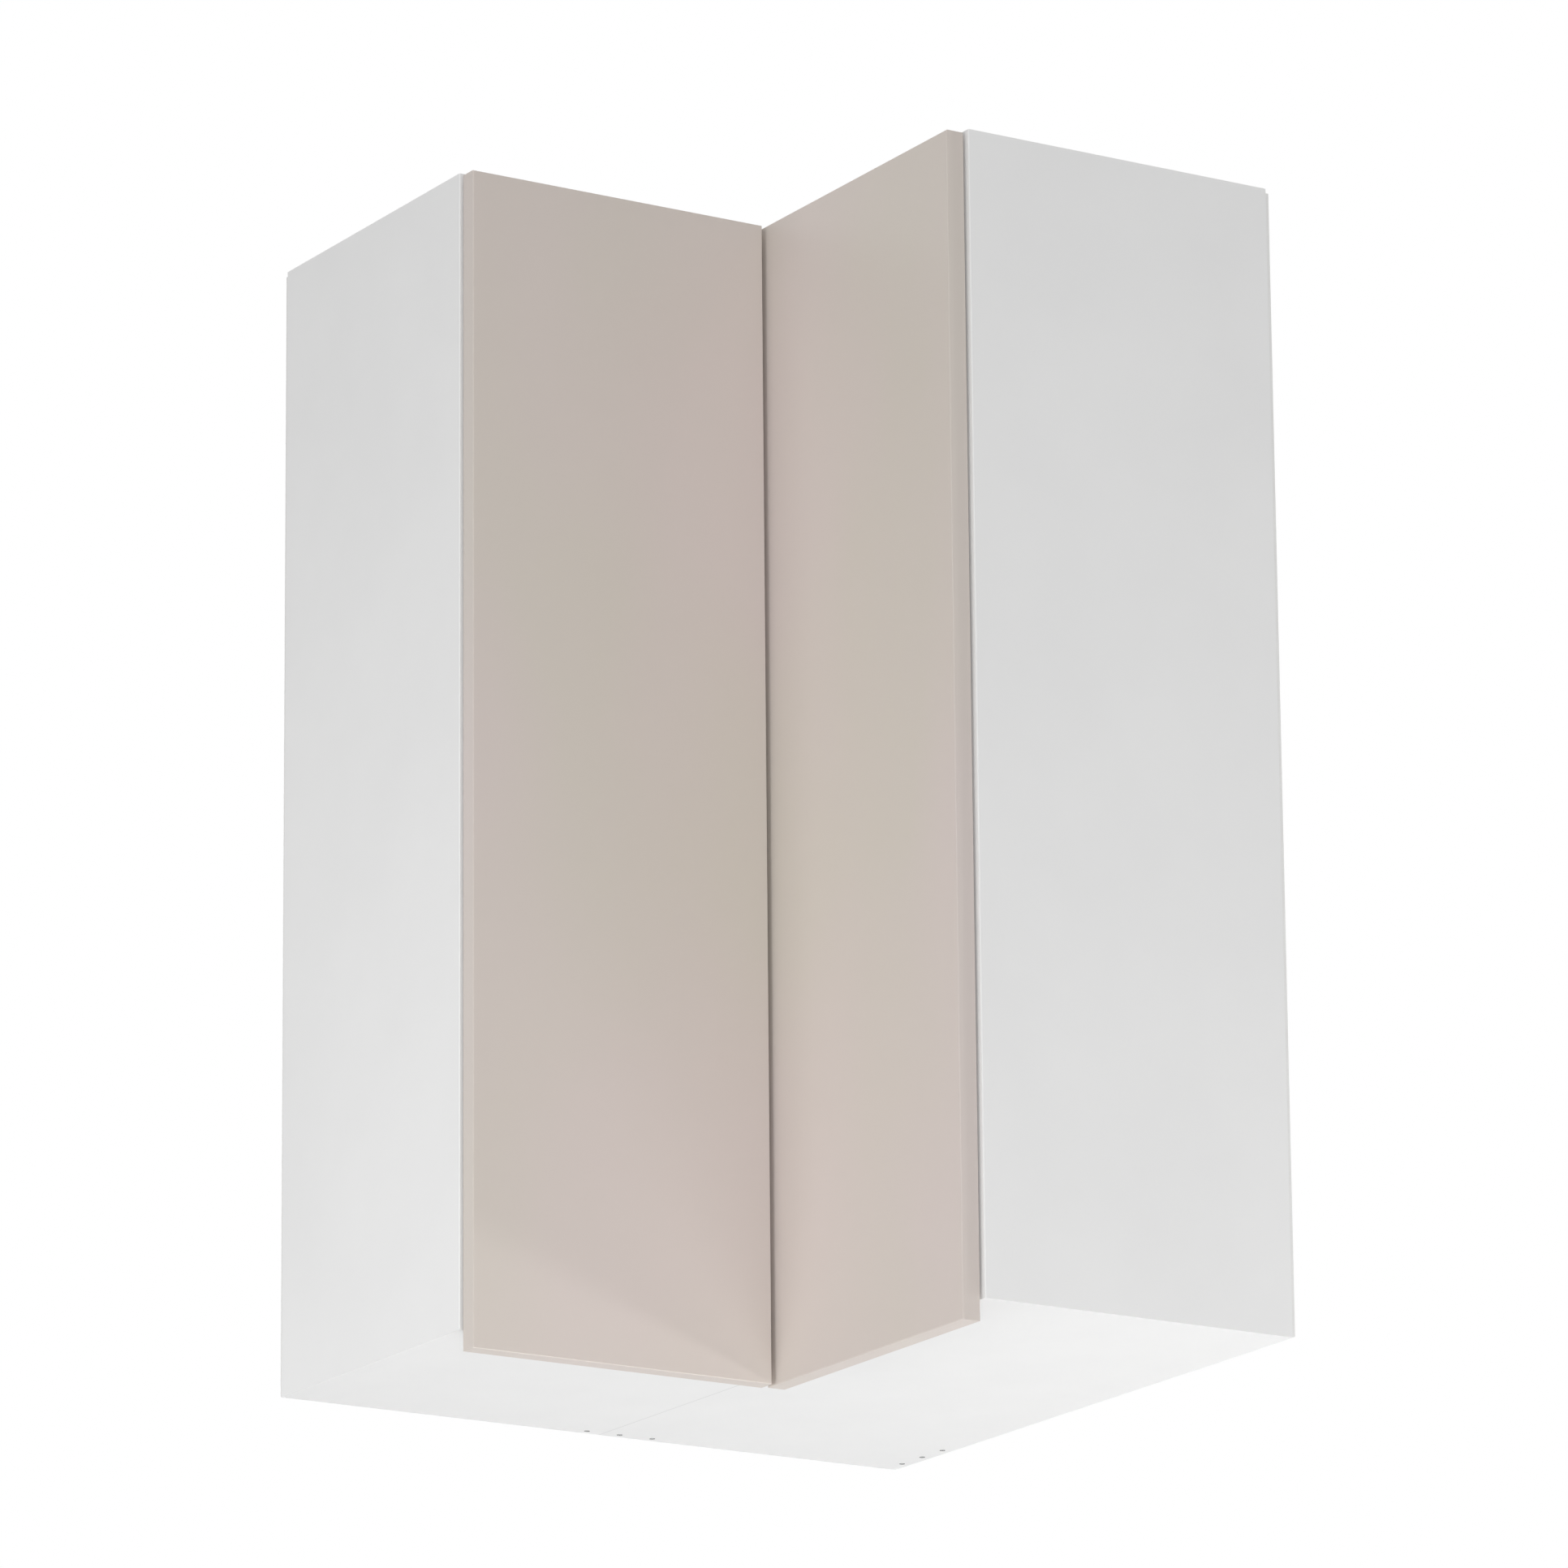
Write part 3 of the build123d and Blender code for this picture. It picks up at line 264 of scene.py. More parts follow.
plasticLook = {"roughness": 0.45, "specular": 0.4, "grain": (900, 2), "darker": 0.95,
               "bump": 0.1, "relief": 0.0001}
hangerLook = {**plasticLook, "colour": (0.84, 0.84, 0.83), "rough": (0.42, 0.55)}
bumperLook = {**plasticLook, "colour": (0.80, 0.80, 0.78), "rough": (0.15, 0.25)}


def moulded(name, look):
    # moulded plastic: a fine grain
    material, tree, shader = newMaterial(name, look)
    grain = noise(tree, objectCoords(tree), *look["grain"])
    patchy(tree, shader, grain, look["colour"], tuple(c * look["darker"] for c in look["colour"]))
    finishSurface(tree, shader, grain, grain, look)
    return material


dowelLook = {"colour": (0.62, 0.46, 0.28), "shade": (0.50, 0.34, 0.18), "roughness": 0.7,
             "rough": (0.6, 0.75), "specular": 0.25, "grain": (900, 3), "stretch": (0.08, 1, 1),
             "bump": 0.3, "relief": 0.0002}


def dowelWood():
    # beech: grain along the dowels
    material, tree, shader = newMaterial("dowel_wood", dowelLook)
    grain = noise(tree, objectCoords(tree, dowelLook["stretch"]), *dowelLook["grain"])
    patchy(tree, shader, grain, dowelLook["colour"], dowelLook["shade"])
    finishSurface(tree, shader, grain, grain, dowelLook)
    return material


looks = {
    "carcass_board": whiteBoard("carcass_board"),
    "back_sheet": backSheet(),
    "door_paint": doorPaint(),
    "zinc_steel": platedSteel("zinc_steel", zincLook),
    "nickel_steel": platedSteel("nickel_steel", nickelLook),
    "hanger_plastic": moulded("hanger_plastic", hangerLook),
    "bumper_plastic": moulded("bumper_plastic", bumperLook),
    "dowel_wood": dowelWood(),
}
slotOf = {part["node"]: part["material_slot"] for part in frame["record"]["subparts"]}
for name, node in nodes.items():
    node.data.materials.clear()
    node.data.materials.append(looks[slotOf[name]])
# the butting top and bottom boards get the board material with the painted shade line
buttedBoard = whiteBoard("butted_board", True)
for name in ("bottom_board_left", "bottom_board_right", "top_board_left", "top_board_right"):
    nodes[name].data.materials[0] = buttedBoard
print("materials made")


# broken edges, so that every board and plate catches the light
edgeBreak = {"segments": 2, "angle": 40}
edgeWidths = {
    "carcass_board": 0.4, "back_sheet": 0.15, "door_paint": 0.3, "zinc_steel": 0.12,
    "nickel_steel": 0.15, "hanger_plastic": 0.3, "bumper_plastic": 0.1, "dowel_wood": 0.2,
}


def breakEdges(node, width):
    bevel = node.modifiers.new("edges", "BEVEL")
    bevel.width = width * mm
    bevel.segments = edgeBreak["segments"]
    bevel.limit_method = "ANGLE"
    bevel.angle_limit = radians(edgeBreak["angle"])
    bevel.use_clamp_overlap = False
    bevel.harden_normals = False


for name, node in nodes.items():
    breakEdges(node, edgeWidths[slotOf[name]])
print("edges broken")


# helpers for the pieces made in mesh code, most of which stand for plainer ones of the frame
bodyOf = {node: body for body, held in frame["record"]["behaviour"]["bodies"].items() for node in held}
sharpAngle = 32     # degrees: flatter edges are shaded smooth


def solidsOf(name):
    # lowest and highest corner of every separate solid of a node
    mesh = bmesh.new()
    mesh.from_mesh(nodes[name].data)
    bmesh.ops.remove_doubles(mesh, verts=mesh.verts, dist=weldGap)
    found, boxes = set(), []
    for first in mesh.verts:
        if first in found:
            continue
        found.add(first)
        solid, queue = [], [first]
        while queue:
            vert = queue.pop()
            solid.append(vert.co.copy())
            for edge in vert.link_edges:
                other = edge.other_vert(vert)
                if other not in found:
                    found.add(other)
                    queue.append(other)
        boxes.append(tuple(Vector(pick(co[i] for co in solid) for i in range(3)) for pick in (min, max)))
    mesh.free()
    return boxes


def arc(middle, radius, start, end, steps):
    x, y = middle
    angles = [radians(start + (end - start) * i / steps) for i in range(steps + 1)]
    return [(x + radius * cos(angle), y + radius * sin(angle)) for angle in angles]


def circle(middle, radius, steps=48):
    return arc(middle, radius, 0, 360, steps)[:-1]


def roundedBox(middle, wide, high, radius, steps=6):
    outline = []
    for quarter, (sx, sy) in enumerate(((1, 1), (-1, 1), (-1, -1), (1, -1))):
        corner = (middle[0] + sx * (wide / 2 - radius), middle[1] + sy * (high / 2 - radius))
        outline += arc(corner, radius, 90 * quarter, 90 * quarter + 90, steps)
    return outline


def strapOutline(middle, spacing, radius, steps=20):
    # upright strap with round ends; spacing is between the ends' middles
    x, y = middle
    return (arc((x, y + spacing / 2), radius, 0, 180, steps)
            + arc((x, y - spacing / 2), radius, 180, 360, steps))


def plate(mesh, outline, holes, low, high):
    # a flat plate between two heights, with its holes
    edges = []
    for loop in [outline] + holes:
        verts = [mesh.verts.new((x * mm, y * mm, low * mm)) for x, y in loop]
        edges += [mesh.edges.new((verts[i - 1], verts[i])) for i in range(len(verts))]
    filled = bmesh.ops.triangle_fill(mesh, use_beauty=True, edges=edges)["geom"]
    bottom = [f for f in filled if isinstance(f, bmesh.types.BMFace)]
    raised = bmesh.ops.extrude_face_region(mesh, geom=bottom)["geom"]
    lifted = [v for v in raised if isinstance(v, bmesh.types.BMVert)]
    bmesh.ops.translate(mesh, verts=lifted, vec=(0, 0, (high - low) * mm))


def turn(mesh, profile, steps=40):
    # a body of revolution along Z; profile is (radius, height) from one end of the axis to the other
    rings = []
    for radius, height in profile:
        spots = circle((0, 0), radius, steps) if radius else [(0, 0)]
        rings.append([mesh.verts.new((x * mm, y * mm, height * mm)) for x, y in spots])
    for lower, upper in zip(rings, rings[1:]):
        for i in range(steps):
            j = (i + 1) % steps
            corners = [lower[i % len(lower)], lower[j % len(lower)],
                       upper[j % len(upper)], upper[i % len(upper)]]
            kept = [v for k, v in enumerate(corners) if v not in corners[:k]]
            if len(kept) > 2:
                mesh.faces.new(kept)


def settled(mesh):
    # the finished mesh, with its faces looking outwards
    bmesh.ops.recalc_face_normals(mesh, faces=mesh.faces)
    data = bpy.data.meshes.new("piece")
    mesh.to_mesh(data)
    mesh.free()
    return data


def turned(profile, steps=40):
    mesh = bmesh.new()
    turn(mesh, profile, steps)
    return settled(mesh)


def cutOut(data, cutter):
    # the first mesh less the second
    body = bpy.data.objects.new("body", data)
    knife = bpy.data.objects.new("knife", cutter)
    for piece in (body, knife):
        bpy.context.scene.collection.objects.link(piece)
    modifier = body.modifiers.new("cut", "BOOLEAN")
    modifier.object = knife
    modifier.operation = "DIFFERENCE"
    modifier.solver = "EXACT"
    result = bpy.data.meshes.new_from_object(body.evaluated_get(bpy.context.evaluated_depsgraph_get()))
    for piece in (body, knife):
        bpy.data.objects.remove(piece)
    # slivers that the cut leaves behind come out
    clean = bmesh.new()
    clean.from_mesh(result)
    bmesh.ops.remove_doubles(clean, verts=clean.verts, dist=weldGap)
    bmesh.ops.dissolve_degenerate(clean, dist=weldGap, edges=clean.edges)
    clean.to_mesh(result)
    clean.free()
    return result


def cutBar(data, top, foot, low, high, angle=0.0, ahead=0.0):
    # a recess: a bar whose (length, width) changes from its foot to its top comes out of a mesh
    mesh = bmesh.new()
    verts = []
    for (along, across), z in ((foot, low), (top, high)):
        for sx, sy in ((1, 1), (-1, 1), (-1, -1), (1, -1)):
            x, y = sx * along / 2, sy * across / 2
            verts.append(mesh.verts.new(((x * cos(angle) - y * sin(angle) + ahead) * mm,
                                         (x * sin(angle) + y * cos(angle)) * mm, z * mm)))
    mesh.faces.new(verts[:4])
    mesh.faces.new(verts[4:])
    for i in range(4):
        j = (i + 1) % 4
        mesh.faces.new((verts[i], verts[j], verts[4 + j], verts[4 + i]))
    return cutOut(data, settled(mesh))


def placed(direction, place, spin=0.0):
    # a frame at a place whose Z looks in a direction and whose Y stays as near to upright as it can
    ahead = Vector(direction)
    upright = Vector((0, 1, 0)) if ahead.z else Vector((0, 0, 1))
    side = upright.cross(ahead)
    facing = Matrix((side, ahead.cross(side), ahead)).transposed().to_4x4()
    return Matrix.Translation(place) @ facing @ Matrix.Rotation(radians(spin), 4, "Z")


def onFace(low, high, along, way, spin=0.0, behind=False):
    # a frame on the face of a solid that looks one way along an axis, or on the face behind it
    direction, place = [0, 0, 0], (low + high) / 2
    direction[along] = way
    place[along] = low[along] if (way > 0) == behind else high[along]
    return placed(direction, place, spin)


def copiesOf(name, data, spots, material, sharp=sharpAngle):
    # copies of one mesh at all spots, as one object
    whole = bmesh.new()
    for spot in spots:
        copy = data.copy()
        copy.transform(spot)
        whole.from_mesh(copy)
        bpy.data.meshes.remove(copy)
    mesh = bpy.data.meshes.new(name)
    whole.to_mesh(mesh)
    whole.free()
    mesh.shade_smooth()
    mesh.set_sharp_from_angle(angle=radians(sharp))
    mesh.materials.append(material)
    piece = bpy.data.objects.new(name, mesh)
    bpy.context.scene.collection.objects.link(piece)
    return piece


def standFor(name, data, spots, edge=0.0, material=None):
    # a piece that replaces a node, where that node's solids are
    piece = copiesOf(name + "_shown", data, spots, material or looks[slotOf[name]])
    if edge:
        breakEdges(piece, edge)
    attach(piece, bodyOf[name])
    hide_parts(name)


# screws: a turned head and shank, with a cross cut into the head
screws = {
    "hinge_plate_screws": {"head": 4.2, "cone": 1.2, "shank": 2.5, "cross": 3.6, "deep": 1.9},
    "hinge_cup_screws": {"head": 3.6, "cone": 0.8, "shank": 1.75, "cross": 3.0, "deep": 1.5},
    "fold_plate_screws": {"head": 3.6, "cone": 1.4, "shank": 1.75, "cross": 3.0, "deep": 1.6},
    "fold_cup_screws": {"head": 3.6, "cone": 0.8, "shank": 1.75, "cross": 3.0, "deep": 1.5},
    "hanger_screws": {"head": 3.0, "cone": 1.5, "shank": 1.75, "cross": 2.8, "deep": 1.5},
    "upright_screws": {"head": 1.7, "cone": 4.0, "shank": 1.3, "cross": 1.7, "deep": 0.9},
}
screwShape = {"slack": 0.02, "tip": 0.3, "tipLong": 0.4, "taper": 2.6, "rim": (0.22, 0.08), "round": 0.16,
              "crossWide": 0.24, "footLong": 0.5, "footWide": 0.2, "above": 0.5, "spin": 37, "firstSpin": 11}


def crossScrew(look, length):
    head, shank = look["head"] - screwShape["slack"], look["shank"] - screwShape["slack"]
    rimLow, rimHigh = screwShape["rim"]
    data = turned([(0, -length), (look["shank"] * screwShape["tip"], -length + screwShape["tipLong"]),
                   (shank, -length + screwShape["taper"]), (shank, -look["cone"]), (head, -rimLow),
                   (head, -rimHigh), (head - screwShape["round"], 0), (0, 0)])
    cross = look["cross"]
    top = (cross, cross * screwShape["crossWide"])
    foot = (cross * screwShape["footLong"], cross * screwShape["footWide"])
    for angle in (0, pi / 2):
        data = cutBar(data, top, foot, -look["deep"], screwShape["above"], angle)
    return data


# the uprights' screws are real, but their near-black zinc is painted shade of the holes they sit in, so that they
# show as small dark dots in the white boards
holeShadeZinc = platedSteel("hole_shade_zinc", holeShadeZincLook)
for name, look in screws.items():
    boxes = solidsOf(name)
    spots = []
    for index, (low, high) in enumerate(boxes):
        size = high - low
        along = max(range(3), key=lambda axis: size[axis])
        way = -1 if along == 2 and low.z < midHeight else 1     # the bottom's heads look down
        spots.append(onFace(low, high, along, way, screwShape["spin"] * index + screwShape["firstSpin"]))
    length = max(boxes[0][1] - boxes[0][0]) / mm
    standFor(name, crossScrew(look, length), spots, material=holeShadeZinc if name == "upright_screws" else None)


# painted shade: thin dark rings round the uprights' screws, pressed into the boards' faces, standing in for the
# shade in their countersinks
# sizes of the dark rings of painted shade
collar = {"inner": 1.75, "outer": 2.4, "deep": 0.3, "proud": 0.05, "steps": 32}
mesh = bmesh.new()
plate(mesh, circle((0, 0), collar["outer"], collar["steps"]), [circle((0, 0), collar["inner"], collar["steps"])],
      -collar["deep"], collar["proud"])
spots = []
for low, high in solidsOf("upright_screws"):
    way, face = (-1, 0) if low.z < midHeight else (1, cadBox[1][2])
    spots.append(placed((0, 0, way), ((low.x + high.x) / 2, (low.y + high.y) / 2, face)))
holeShadeRings = copiesOf("upright_screw_hole_shade", settled(mesh), spots, holeShadeZinc)
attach(holeShadeRings, "carcass")
print("screws made")


# arm screws: a round head with a screwdriver slot, on the hinge arms
armScrew = {"head": 3.5, "thick": 2.0, "shank": 2.0, "end": 0.3, "slotLong": 9, "slotWide": 0.9,
            "slotDeep": 1.0, "above": 1, "round": 0.35, "spin": 41, "firstSpin": 24}
boxes = solidsOf("hinge_arm_screws")
length = (boxes[0][1] - boxes[0][0]).x / mm
head, shank, rim = armScrew["head"], armScrew["shank"], armScrew["round"]
data = turned([(0, -length), (shank - armScrew["end"], -length), (shank, -length + armScrew["end"]),
               (shank, -armScrew["thick"]), (head, -armScrew["thick"])]
              + [(head - rim + x, y - rim) for x, y in arc((0, 0), rim, 0, 90, 3)] + [(0, 0)])
slot = (armScrew["slotLong"], armScrew["slotWide"])
data = cutBar(data, slot, slot, -armScrew["slotDeep"], armScrew["above"])
standFor("hinge_arm_screws", data, [onFace(low, high, 0, 1, armScrew["firstSpin"] + armScrew["spin"] * index)
                                    for index, (low, high) in enumerate(boxes)])


# cams: a die-cast drum with a rim, a cross with one long arm, and a window for the bolt's head
cam = {"radius": 7.48, "deep": 12.0, "rim": 0.5, "foot": 0.4, "brim": 0.2, "rimSlope": (0.4, 0.3), "sink": 0.35,
       "slot": (10.5, 2.5), "slotFoot": (10.1, 2.3), "slotDeep": 2.5,
       "arm": (2.5, 6.51), "armFoot": (2.2, 6.3), "armDeep": 1.75,
       "window": 7.0, "windowDeep": 8.0, "above": 1, "steps": 48}
radius, deep = cam["radius"], cam["deep"]
inner = radius - cam["rim"] - cam["rimSlope"][0]
data = turned([(0, -deep), (radius - cam["foot"], -deep), (radius, -deep + cam["foot"]), (radius, -cam["brim"]),
               (radius - cam["brim"], 0), (radius - cam["rim"] - cam["rimSlope"][1], 0), (inner, -cam["sink"]),
               (0, -cam["sink"])], cam["steps"])
data = cutBar(data, cam["slot"], cam["slotFoot"], -cam["slotDeep"], cam["above"])
data = cutBar(data, cam["arm"], cam["armFoot"], -cam["armDeep"], cam["above"])
window = (2 * radius, cam["window"])
data = cutBar(data, window, window, -cam["windowDeep"] - cam["window"] / 2,
              -cam["windowDeep"] + cam["window"] / 2, ahead=radius)
bolts = [(low + high) / 2 for low, high in solidsOf("cam_bolts")]
spots = []
for low, high in solidsOf("cam_drums"):
    middle = (low + high) / 2
    way = min(bolts, key=lambda bolt: (bolt - middle).length) - middle      # the window faces its bolt
    spots.append(Matrix.Translation((middle.x, middle.y, high.z)) @ Matrix.Rotation(atan2(way.y, way.x), 4, "Z"))
standFor("cam_drums", data, spots)


# adjusters of the wall hangers
adjuster = {"radius": 3.5, "long": 12.0, "rim": 0.3, "cross": (4.5, 1.0), "crossFoot": (3.3, 0.9),
            "crossDeep": 1.5, "above": 1, "spin": 29, "firstSpin": 18}
data = turned([(0, -adjuster["long"]), (adjuster["radius"], -adjuster["long"]),
               (adjuster["radius"], -adjuster["rim"]), (adjuster["radius"] - adjuster["rim"], 0), (0, 0)])
for angle in (0, pi / 2):
    data = cutBar(data, adjuster["cross"], adjuster["crossFoot"], -adjuster["crossDeep"], adjuster["above"],
                  angle)
spots = []
for index, (low, high) in enumerate(solidsOf("hanger_adjusters")):
    size = high - low
    spots.append(onFace(low, high, 1 if size.y > size.x else 0, -1,
                        adjuster["firstSpin"] + adjuster["spin"] * index))
standFor("hanger_adjusters", data, spots)


# the doors' bumpers: clear domes
bumper = {"radius": 4.0, "thick": 1.6, "foot": 0.35, "rings": (15, 30, 45, 60, 75, 84)}
dome = [(bumper["radius"] * cos(radians(a)),
         bumper["foot"] + (bumper["thick"] - bumper["foot"]) * sin(radians(a))) for a in bumper["rings"]]
data = turned([(0, 0), (bumper["radius"], 0), (bumper["radius"], bumper["foot"])] + dome + [(0, bumper["thick"])])
for name, along in (("left_door_bumpers", 1), ("right_door_bumpers", 0)):
    standFor(name, data, [onFace(low, high, along, 1, behind=True) for low, high in solidsOf(name)])
print("cams, adjusters and bumpers made")


# hinge cups: a pot let into the door, a flange with two ears, and the hollow that the arm works in
cup = {"pot": 17.48, "flange": 19.0, "ear": 5.5, "earOffset": 9.5, "earSpacing": 45.0, "thick": 0.8,
       "deep": 11.98, "screwHole": 3.62, "half": 6.2, "hollowRound": 0.8, "edge": 0.16,
       "leastHigh": 30.0}      # smaller solids of the node are no cups
leftCups = {"hollow": 16.6, "floor": 11.2}
foldCups = {"hollow": 15.0, "floor": 9.5}


def flangeOutline():
    # a disc with an upright strap across it
    half, middle = cup["earSpacing"] / 2, -cup["earOffset"]
    nearTurn = degrees(acos((cup["ear"] + middle) / cup["flange"]))
    farTurn = degrees(acos((middle - cup["ear"]) / cup["flange"]))
    return (arc((0, 0), cup["flange"], -nearTurn, nearTurn, 44)
            + arc((middle, half), cup["ear"], 0, 180, 18)
            + arc((0, 0), cup["flange"], farTurn, 360 - farTurn, 16)
            + arc((middle, -half), cup["ear"], 180, 360, 18))


def hingeCup(look):
    mesh = bmesh.new()
    hollow = roundedBox((0, 0), 2 * look["hollow"], 2 * cup["half"], cup["hollowRound"], 3)
    pot = circle((0, 0), cup["pot"], 64)
    ears = [circle((-cup["earOffset"], side * cup["earSpacing"] / 2), cup["screwHole"], 28) for side in (-1, 1)]
    plate(mesh, flangeOutline(), [hollow] + ears, 0, cup["thick"])
    plate(mesh, pot, [hollow], -look["floor"], 0)
    plate(mesh, pot, [], -cup["deep"], -look["floor"])
    return settled(mesh)


spots = []
for low, high in solidsOf("hinge_cups"):
    if high.z - low.z > cup["leastHigh"] * mm:
        # the flange's disc touches the box's left side and lies under its rear face
        spots.append(placed((0, 1, 0), (low.x + cup["flange"] * mm, high.y - cup["thick"] * mm,
                                        (low.z + high.z) / 2)))
standFor("hinge_cups", hingeCup(leftCups), spots, cup["edge"])


# fold hinges: arms and ears that meet at a pin between the doors
fold = {"pin": (-291.0, -291.0), "eye": 4.0, "hole": 2.06, "strap": 2.0, "armHalf": 3.6, "rear": -300.0,
        "cup": -324.5, "root": 10.0, "heel": 4.0, "rootWide": 6.0, "bend": (4.8, 6.0), "crook": (0.8, 10.0),
        "straight": 4.0}
foldPlate = {"right": -328.0, "long": 42.0, "half": 24.0, "thick": 2.0, "corner": 4.0, "screwX": -349.0,
             "screws": 32.0, "hole": 3.62, "overlap": 0.3, "earFoot": 4.0, "earSlope": 6.0, "earLow": 3.9,
             "earHigh": 8.0}
foldHeights = [(low.z + high.z) / 2 / mm for low, high in solidsOf("fold_hinge_pins")]
pinHole = [circle(fold["pin"], fold["hole"], 24)]


def foldArm(mesh, middle):
    x, y = fold["pin"]
    rear, cupY, strap = fold["rear"], fold["cup"], fold["strap"]
    outline = ([(rear - fold["root"], cupY - fold["heel"]),
                (rear + fold["bend"][0], cupY + fold["bend"][1]),
                (x + strap, y - fold["straight"])]
               + arc((x, y), fold["eye"], -60, 240, 30)
               + [(x - strap, y - fold["straight"]),
                  (rear + fold["crook"][0], cupY + fold["crook"][1]),
                  (rear - fold["root"], cupY - fold["heel"] + fold["rootWide"])])
    plate(mesh, outline, pinHole, middle - fold["armHalf"], middle + fold["armHalf"])


def foldEars(mesh, middle):
    x, y = fold["pin"]
    foot = foldPlate["right"] - foldPlate["long"] + foldPlate["earFoot"]
    back = fold["rear"] + foldPlate["thick"] - foldPlate["overlap"]
    outline = ([(foot, back), (foldPlate["right"], back), (foldPlate["right"], y - fold["strap"])]
               + arc((x, y), fold["eye"], -150, 150, 30)
               + [(foot + foldPlate["earSlope"], y + fold["strap"])])
    for low, high in ((-foldPlate["earHigh"], -foldPlate["earLow"]), (foldPlate["earLow"], foldPlate["earHigh"])):
        plate(mesh, outline, pinHole, middle + low, middle + high)


def foldLeaf():
    # in the leaf's own frame X runs away from the fold
    middle = foldPlate["right"] - foldPlate["long"] / 2
    holes = [circle((middle - foldPlate["screwX"], side * foldPlate["screws"] / 2), foldPlate["hole"], 28)
             for side in (-1, 1)]
    leaf = bmesh.new()
    plate(leaf, roundedBox((0, 0), foldPlate["long"], 2 * foldPlate["half"], foldPlate["corner"], 8), holes,
          0, foldPlate["thick"])
    return settled(leaf), middle


mesh = bmesh.new()
for height in foldHeights:
    data = hingeCup(foldCups)
    data.transform(placed((1, 0, 0), (fold["rear"] * mm, fold["cup"] * mm, height * mm)))
    mesh.from_mesh(data)
    foldArm(mesh, height)
standFor("fold_hinge_cups", settled(mesh), [Matrix.Identity(4)], cup["edge"])

mesh = bmesh.new()
for height in foldHeights:
    data, middle = foldLeaf()
    data.transform(placed((0, 1, 0), (middle * mm, fold["rear"] * mm, height * mm)))
    mesh.from_mesh(data)
    foldEars(mesh, height)
standFor("fold_hinge_plates", settled(mesh), [Matrix.Identity(4)], cup["edge"])


# mounting plates of the wide-angle hinges: a strap with two screws under a saddle
mount = {"wingSpacing": 32.0, "wing": 7.0, "wingThick": 2.5, "hole": 4.22, "saddleHalf": 6.5, "saddleThick": 5.0,
         "saddle": (22.0, 66.0), "saddleFoot": 0.02, "wingBack": 37.0, "corner": 1.6, "edge": 0.3}
mesh = bmesh.new()
plate(mesh, strapOutline((0, 0), mount["wingSpacing"], mount["wing"]),
      [circle((0, side * mount["wingSpacing"] / 2), mount["hole"], 28) for side in (-1, 1)],
      0, mount["wingThick"])
saddleFront, saddleRear = mount["saddle"]
plate(mesh, roundedBox(((saddleFront + saddleRear) / 2 - mount["wingBack"], 0), saddleRear - saddleFront,
                       2 * mount["saddleHalf"], mount["corner"]), [], mount["saddleFoot"], mount["saddleThick"])
standFor("hinge_plates", settled(mesh),
         [placed((1, 0, 0), (low.x, (front + mount["wingBack"]) * mm, (low.z + high.z) / 2))
          for low, high in solidsOf("hinge_plates")], mount["edge"])
print("hinge plates and cups made")


# shelf pins: a smooth pin, a collar with a flat top and a flat tongue
shelfPin = {"pin": 2.48, "deep": 10.0, "tip": (0.6, 0.8), "collar": 4.0, "collarThick": 1.5, "flat": 1.5,
            "tongue": (7.0, 3.0), "tongueRound": 0.7, "reach": 9.0, "bite": 0.05, "seat": 0.1, "edge": 0.3,
            "wallZone": -0.1}       # metres: pins nearer to the room's corner look away from it
shelfLevels = [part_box(shelf)[0][2] for shelf in ("shelf_1", "shelf_2")]
pin, deep, bite = shelfPin["pin"], shelfPin["deep"], shelfPin["bite"]
mesh = bmesh.new()
turn(mesh, [(0, -deep), (pin - shelfPin["tip"][0], -deep), (pin, -deep + shelfPin["tip"][1]),
            (pin, bite), (0, bite)], 28)
cutTurn = degrees(asin(shelfPin["flat"] / shelfPin["collar"]))
plate(mesh, arc((0, 0), shelfPin["collar"], 180 - cutTurn, 360 + cutTurn, 30), [], 0, shelfPin["collarThick"])
plate(mesh, roundedBox((0, 0), *shelfPin["tongue"], shelfPin["tongueRound"]), [],
      shelfPin["collarThick"] - bite, shelfPin["reach"])
data = settled(mesh)
spots = []
for low, high in solidsOf("shelf_pins"):
    place, direction = (low + high) / 2, [0, 0, 0]
    along = 0 if high.x - low.x > high.y - low.y else 1
    way = -1 if place[along] > shelfPin["wallZone"] else 1
    direction[along] = way
    # the collar's rear face lies on the board, and its flat just under the shelf
    tongueEnd = high[along] if way > 0 else low[along]
    place[along] = tongueEnd - way * shelfPin["reach"] * mm
    level = min(shelfLevels, key=lambda height: abs(height - place.z))
    place.z = level - (shelfPin["flat"] + shelfPin["seat"]) * mm
    spots.append(placed(direction, place))
standFor("shelf_pins", data, spots, shelfPin["edge"])


# nails that hold the thin back panels to the boards' rear edges
nail = {"head": 1.7, "proud": 0.15, "stem": 0.4, "stemWide": 0.7, "shoulder": (0.8, 0.7), "crown": 0.45,
        "steps": 18, "step": 118.0, "margin": 26.0}
rearSheet = {"outer": -595.0, "low": 8.0, "high": 971.0, "inner": -11.0, "uprightRows": (-322.0, -243.0),
             "cornerRows": (-32.0, -90.0)}


def evenly(low, high):
    # places between two ends of a panel, a margin away from them
    low, high = low + nail["margin"], high - nail["margin"]
    count = max(1, round((high - low) / nail["step"]))
    return [low + (high - low) * i / count for i in range(count + 1)]


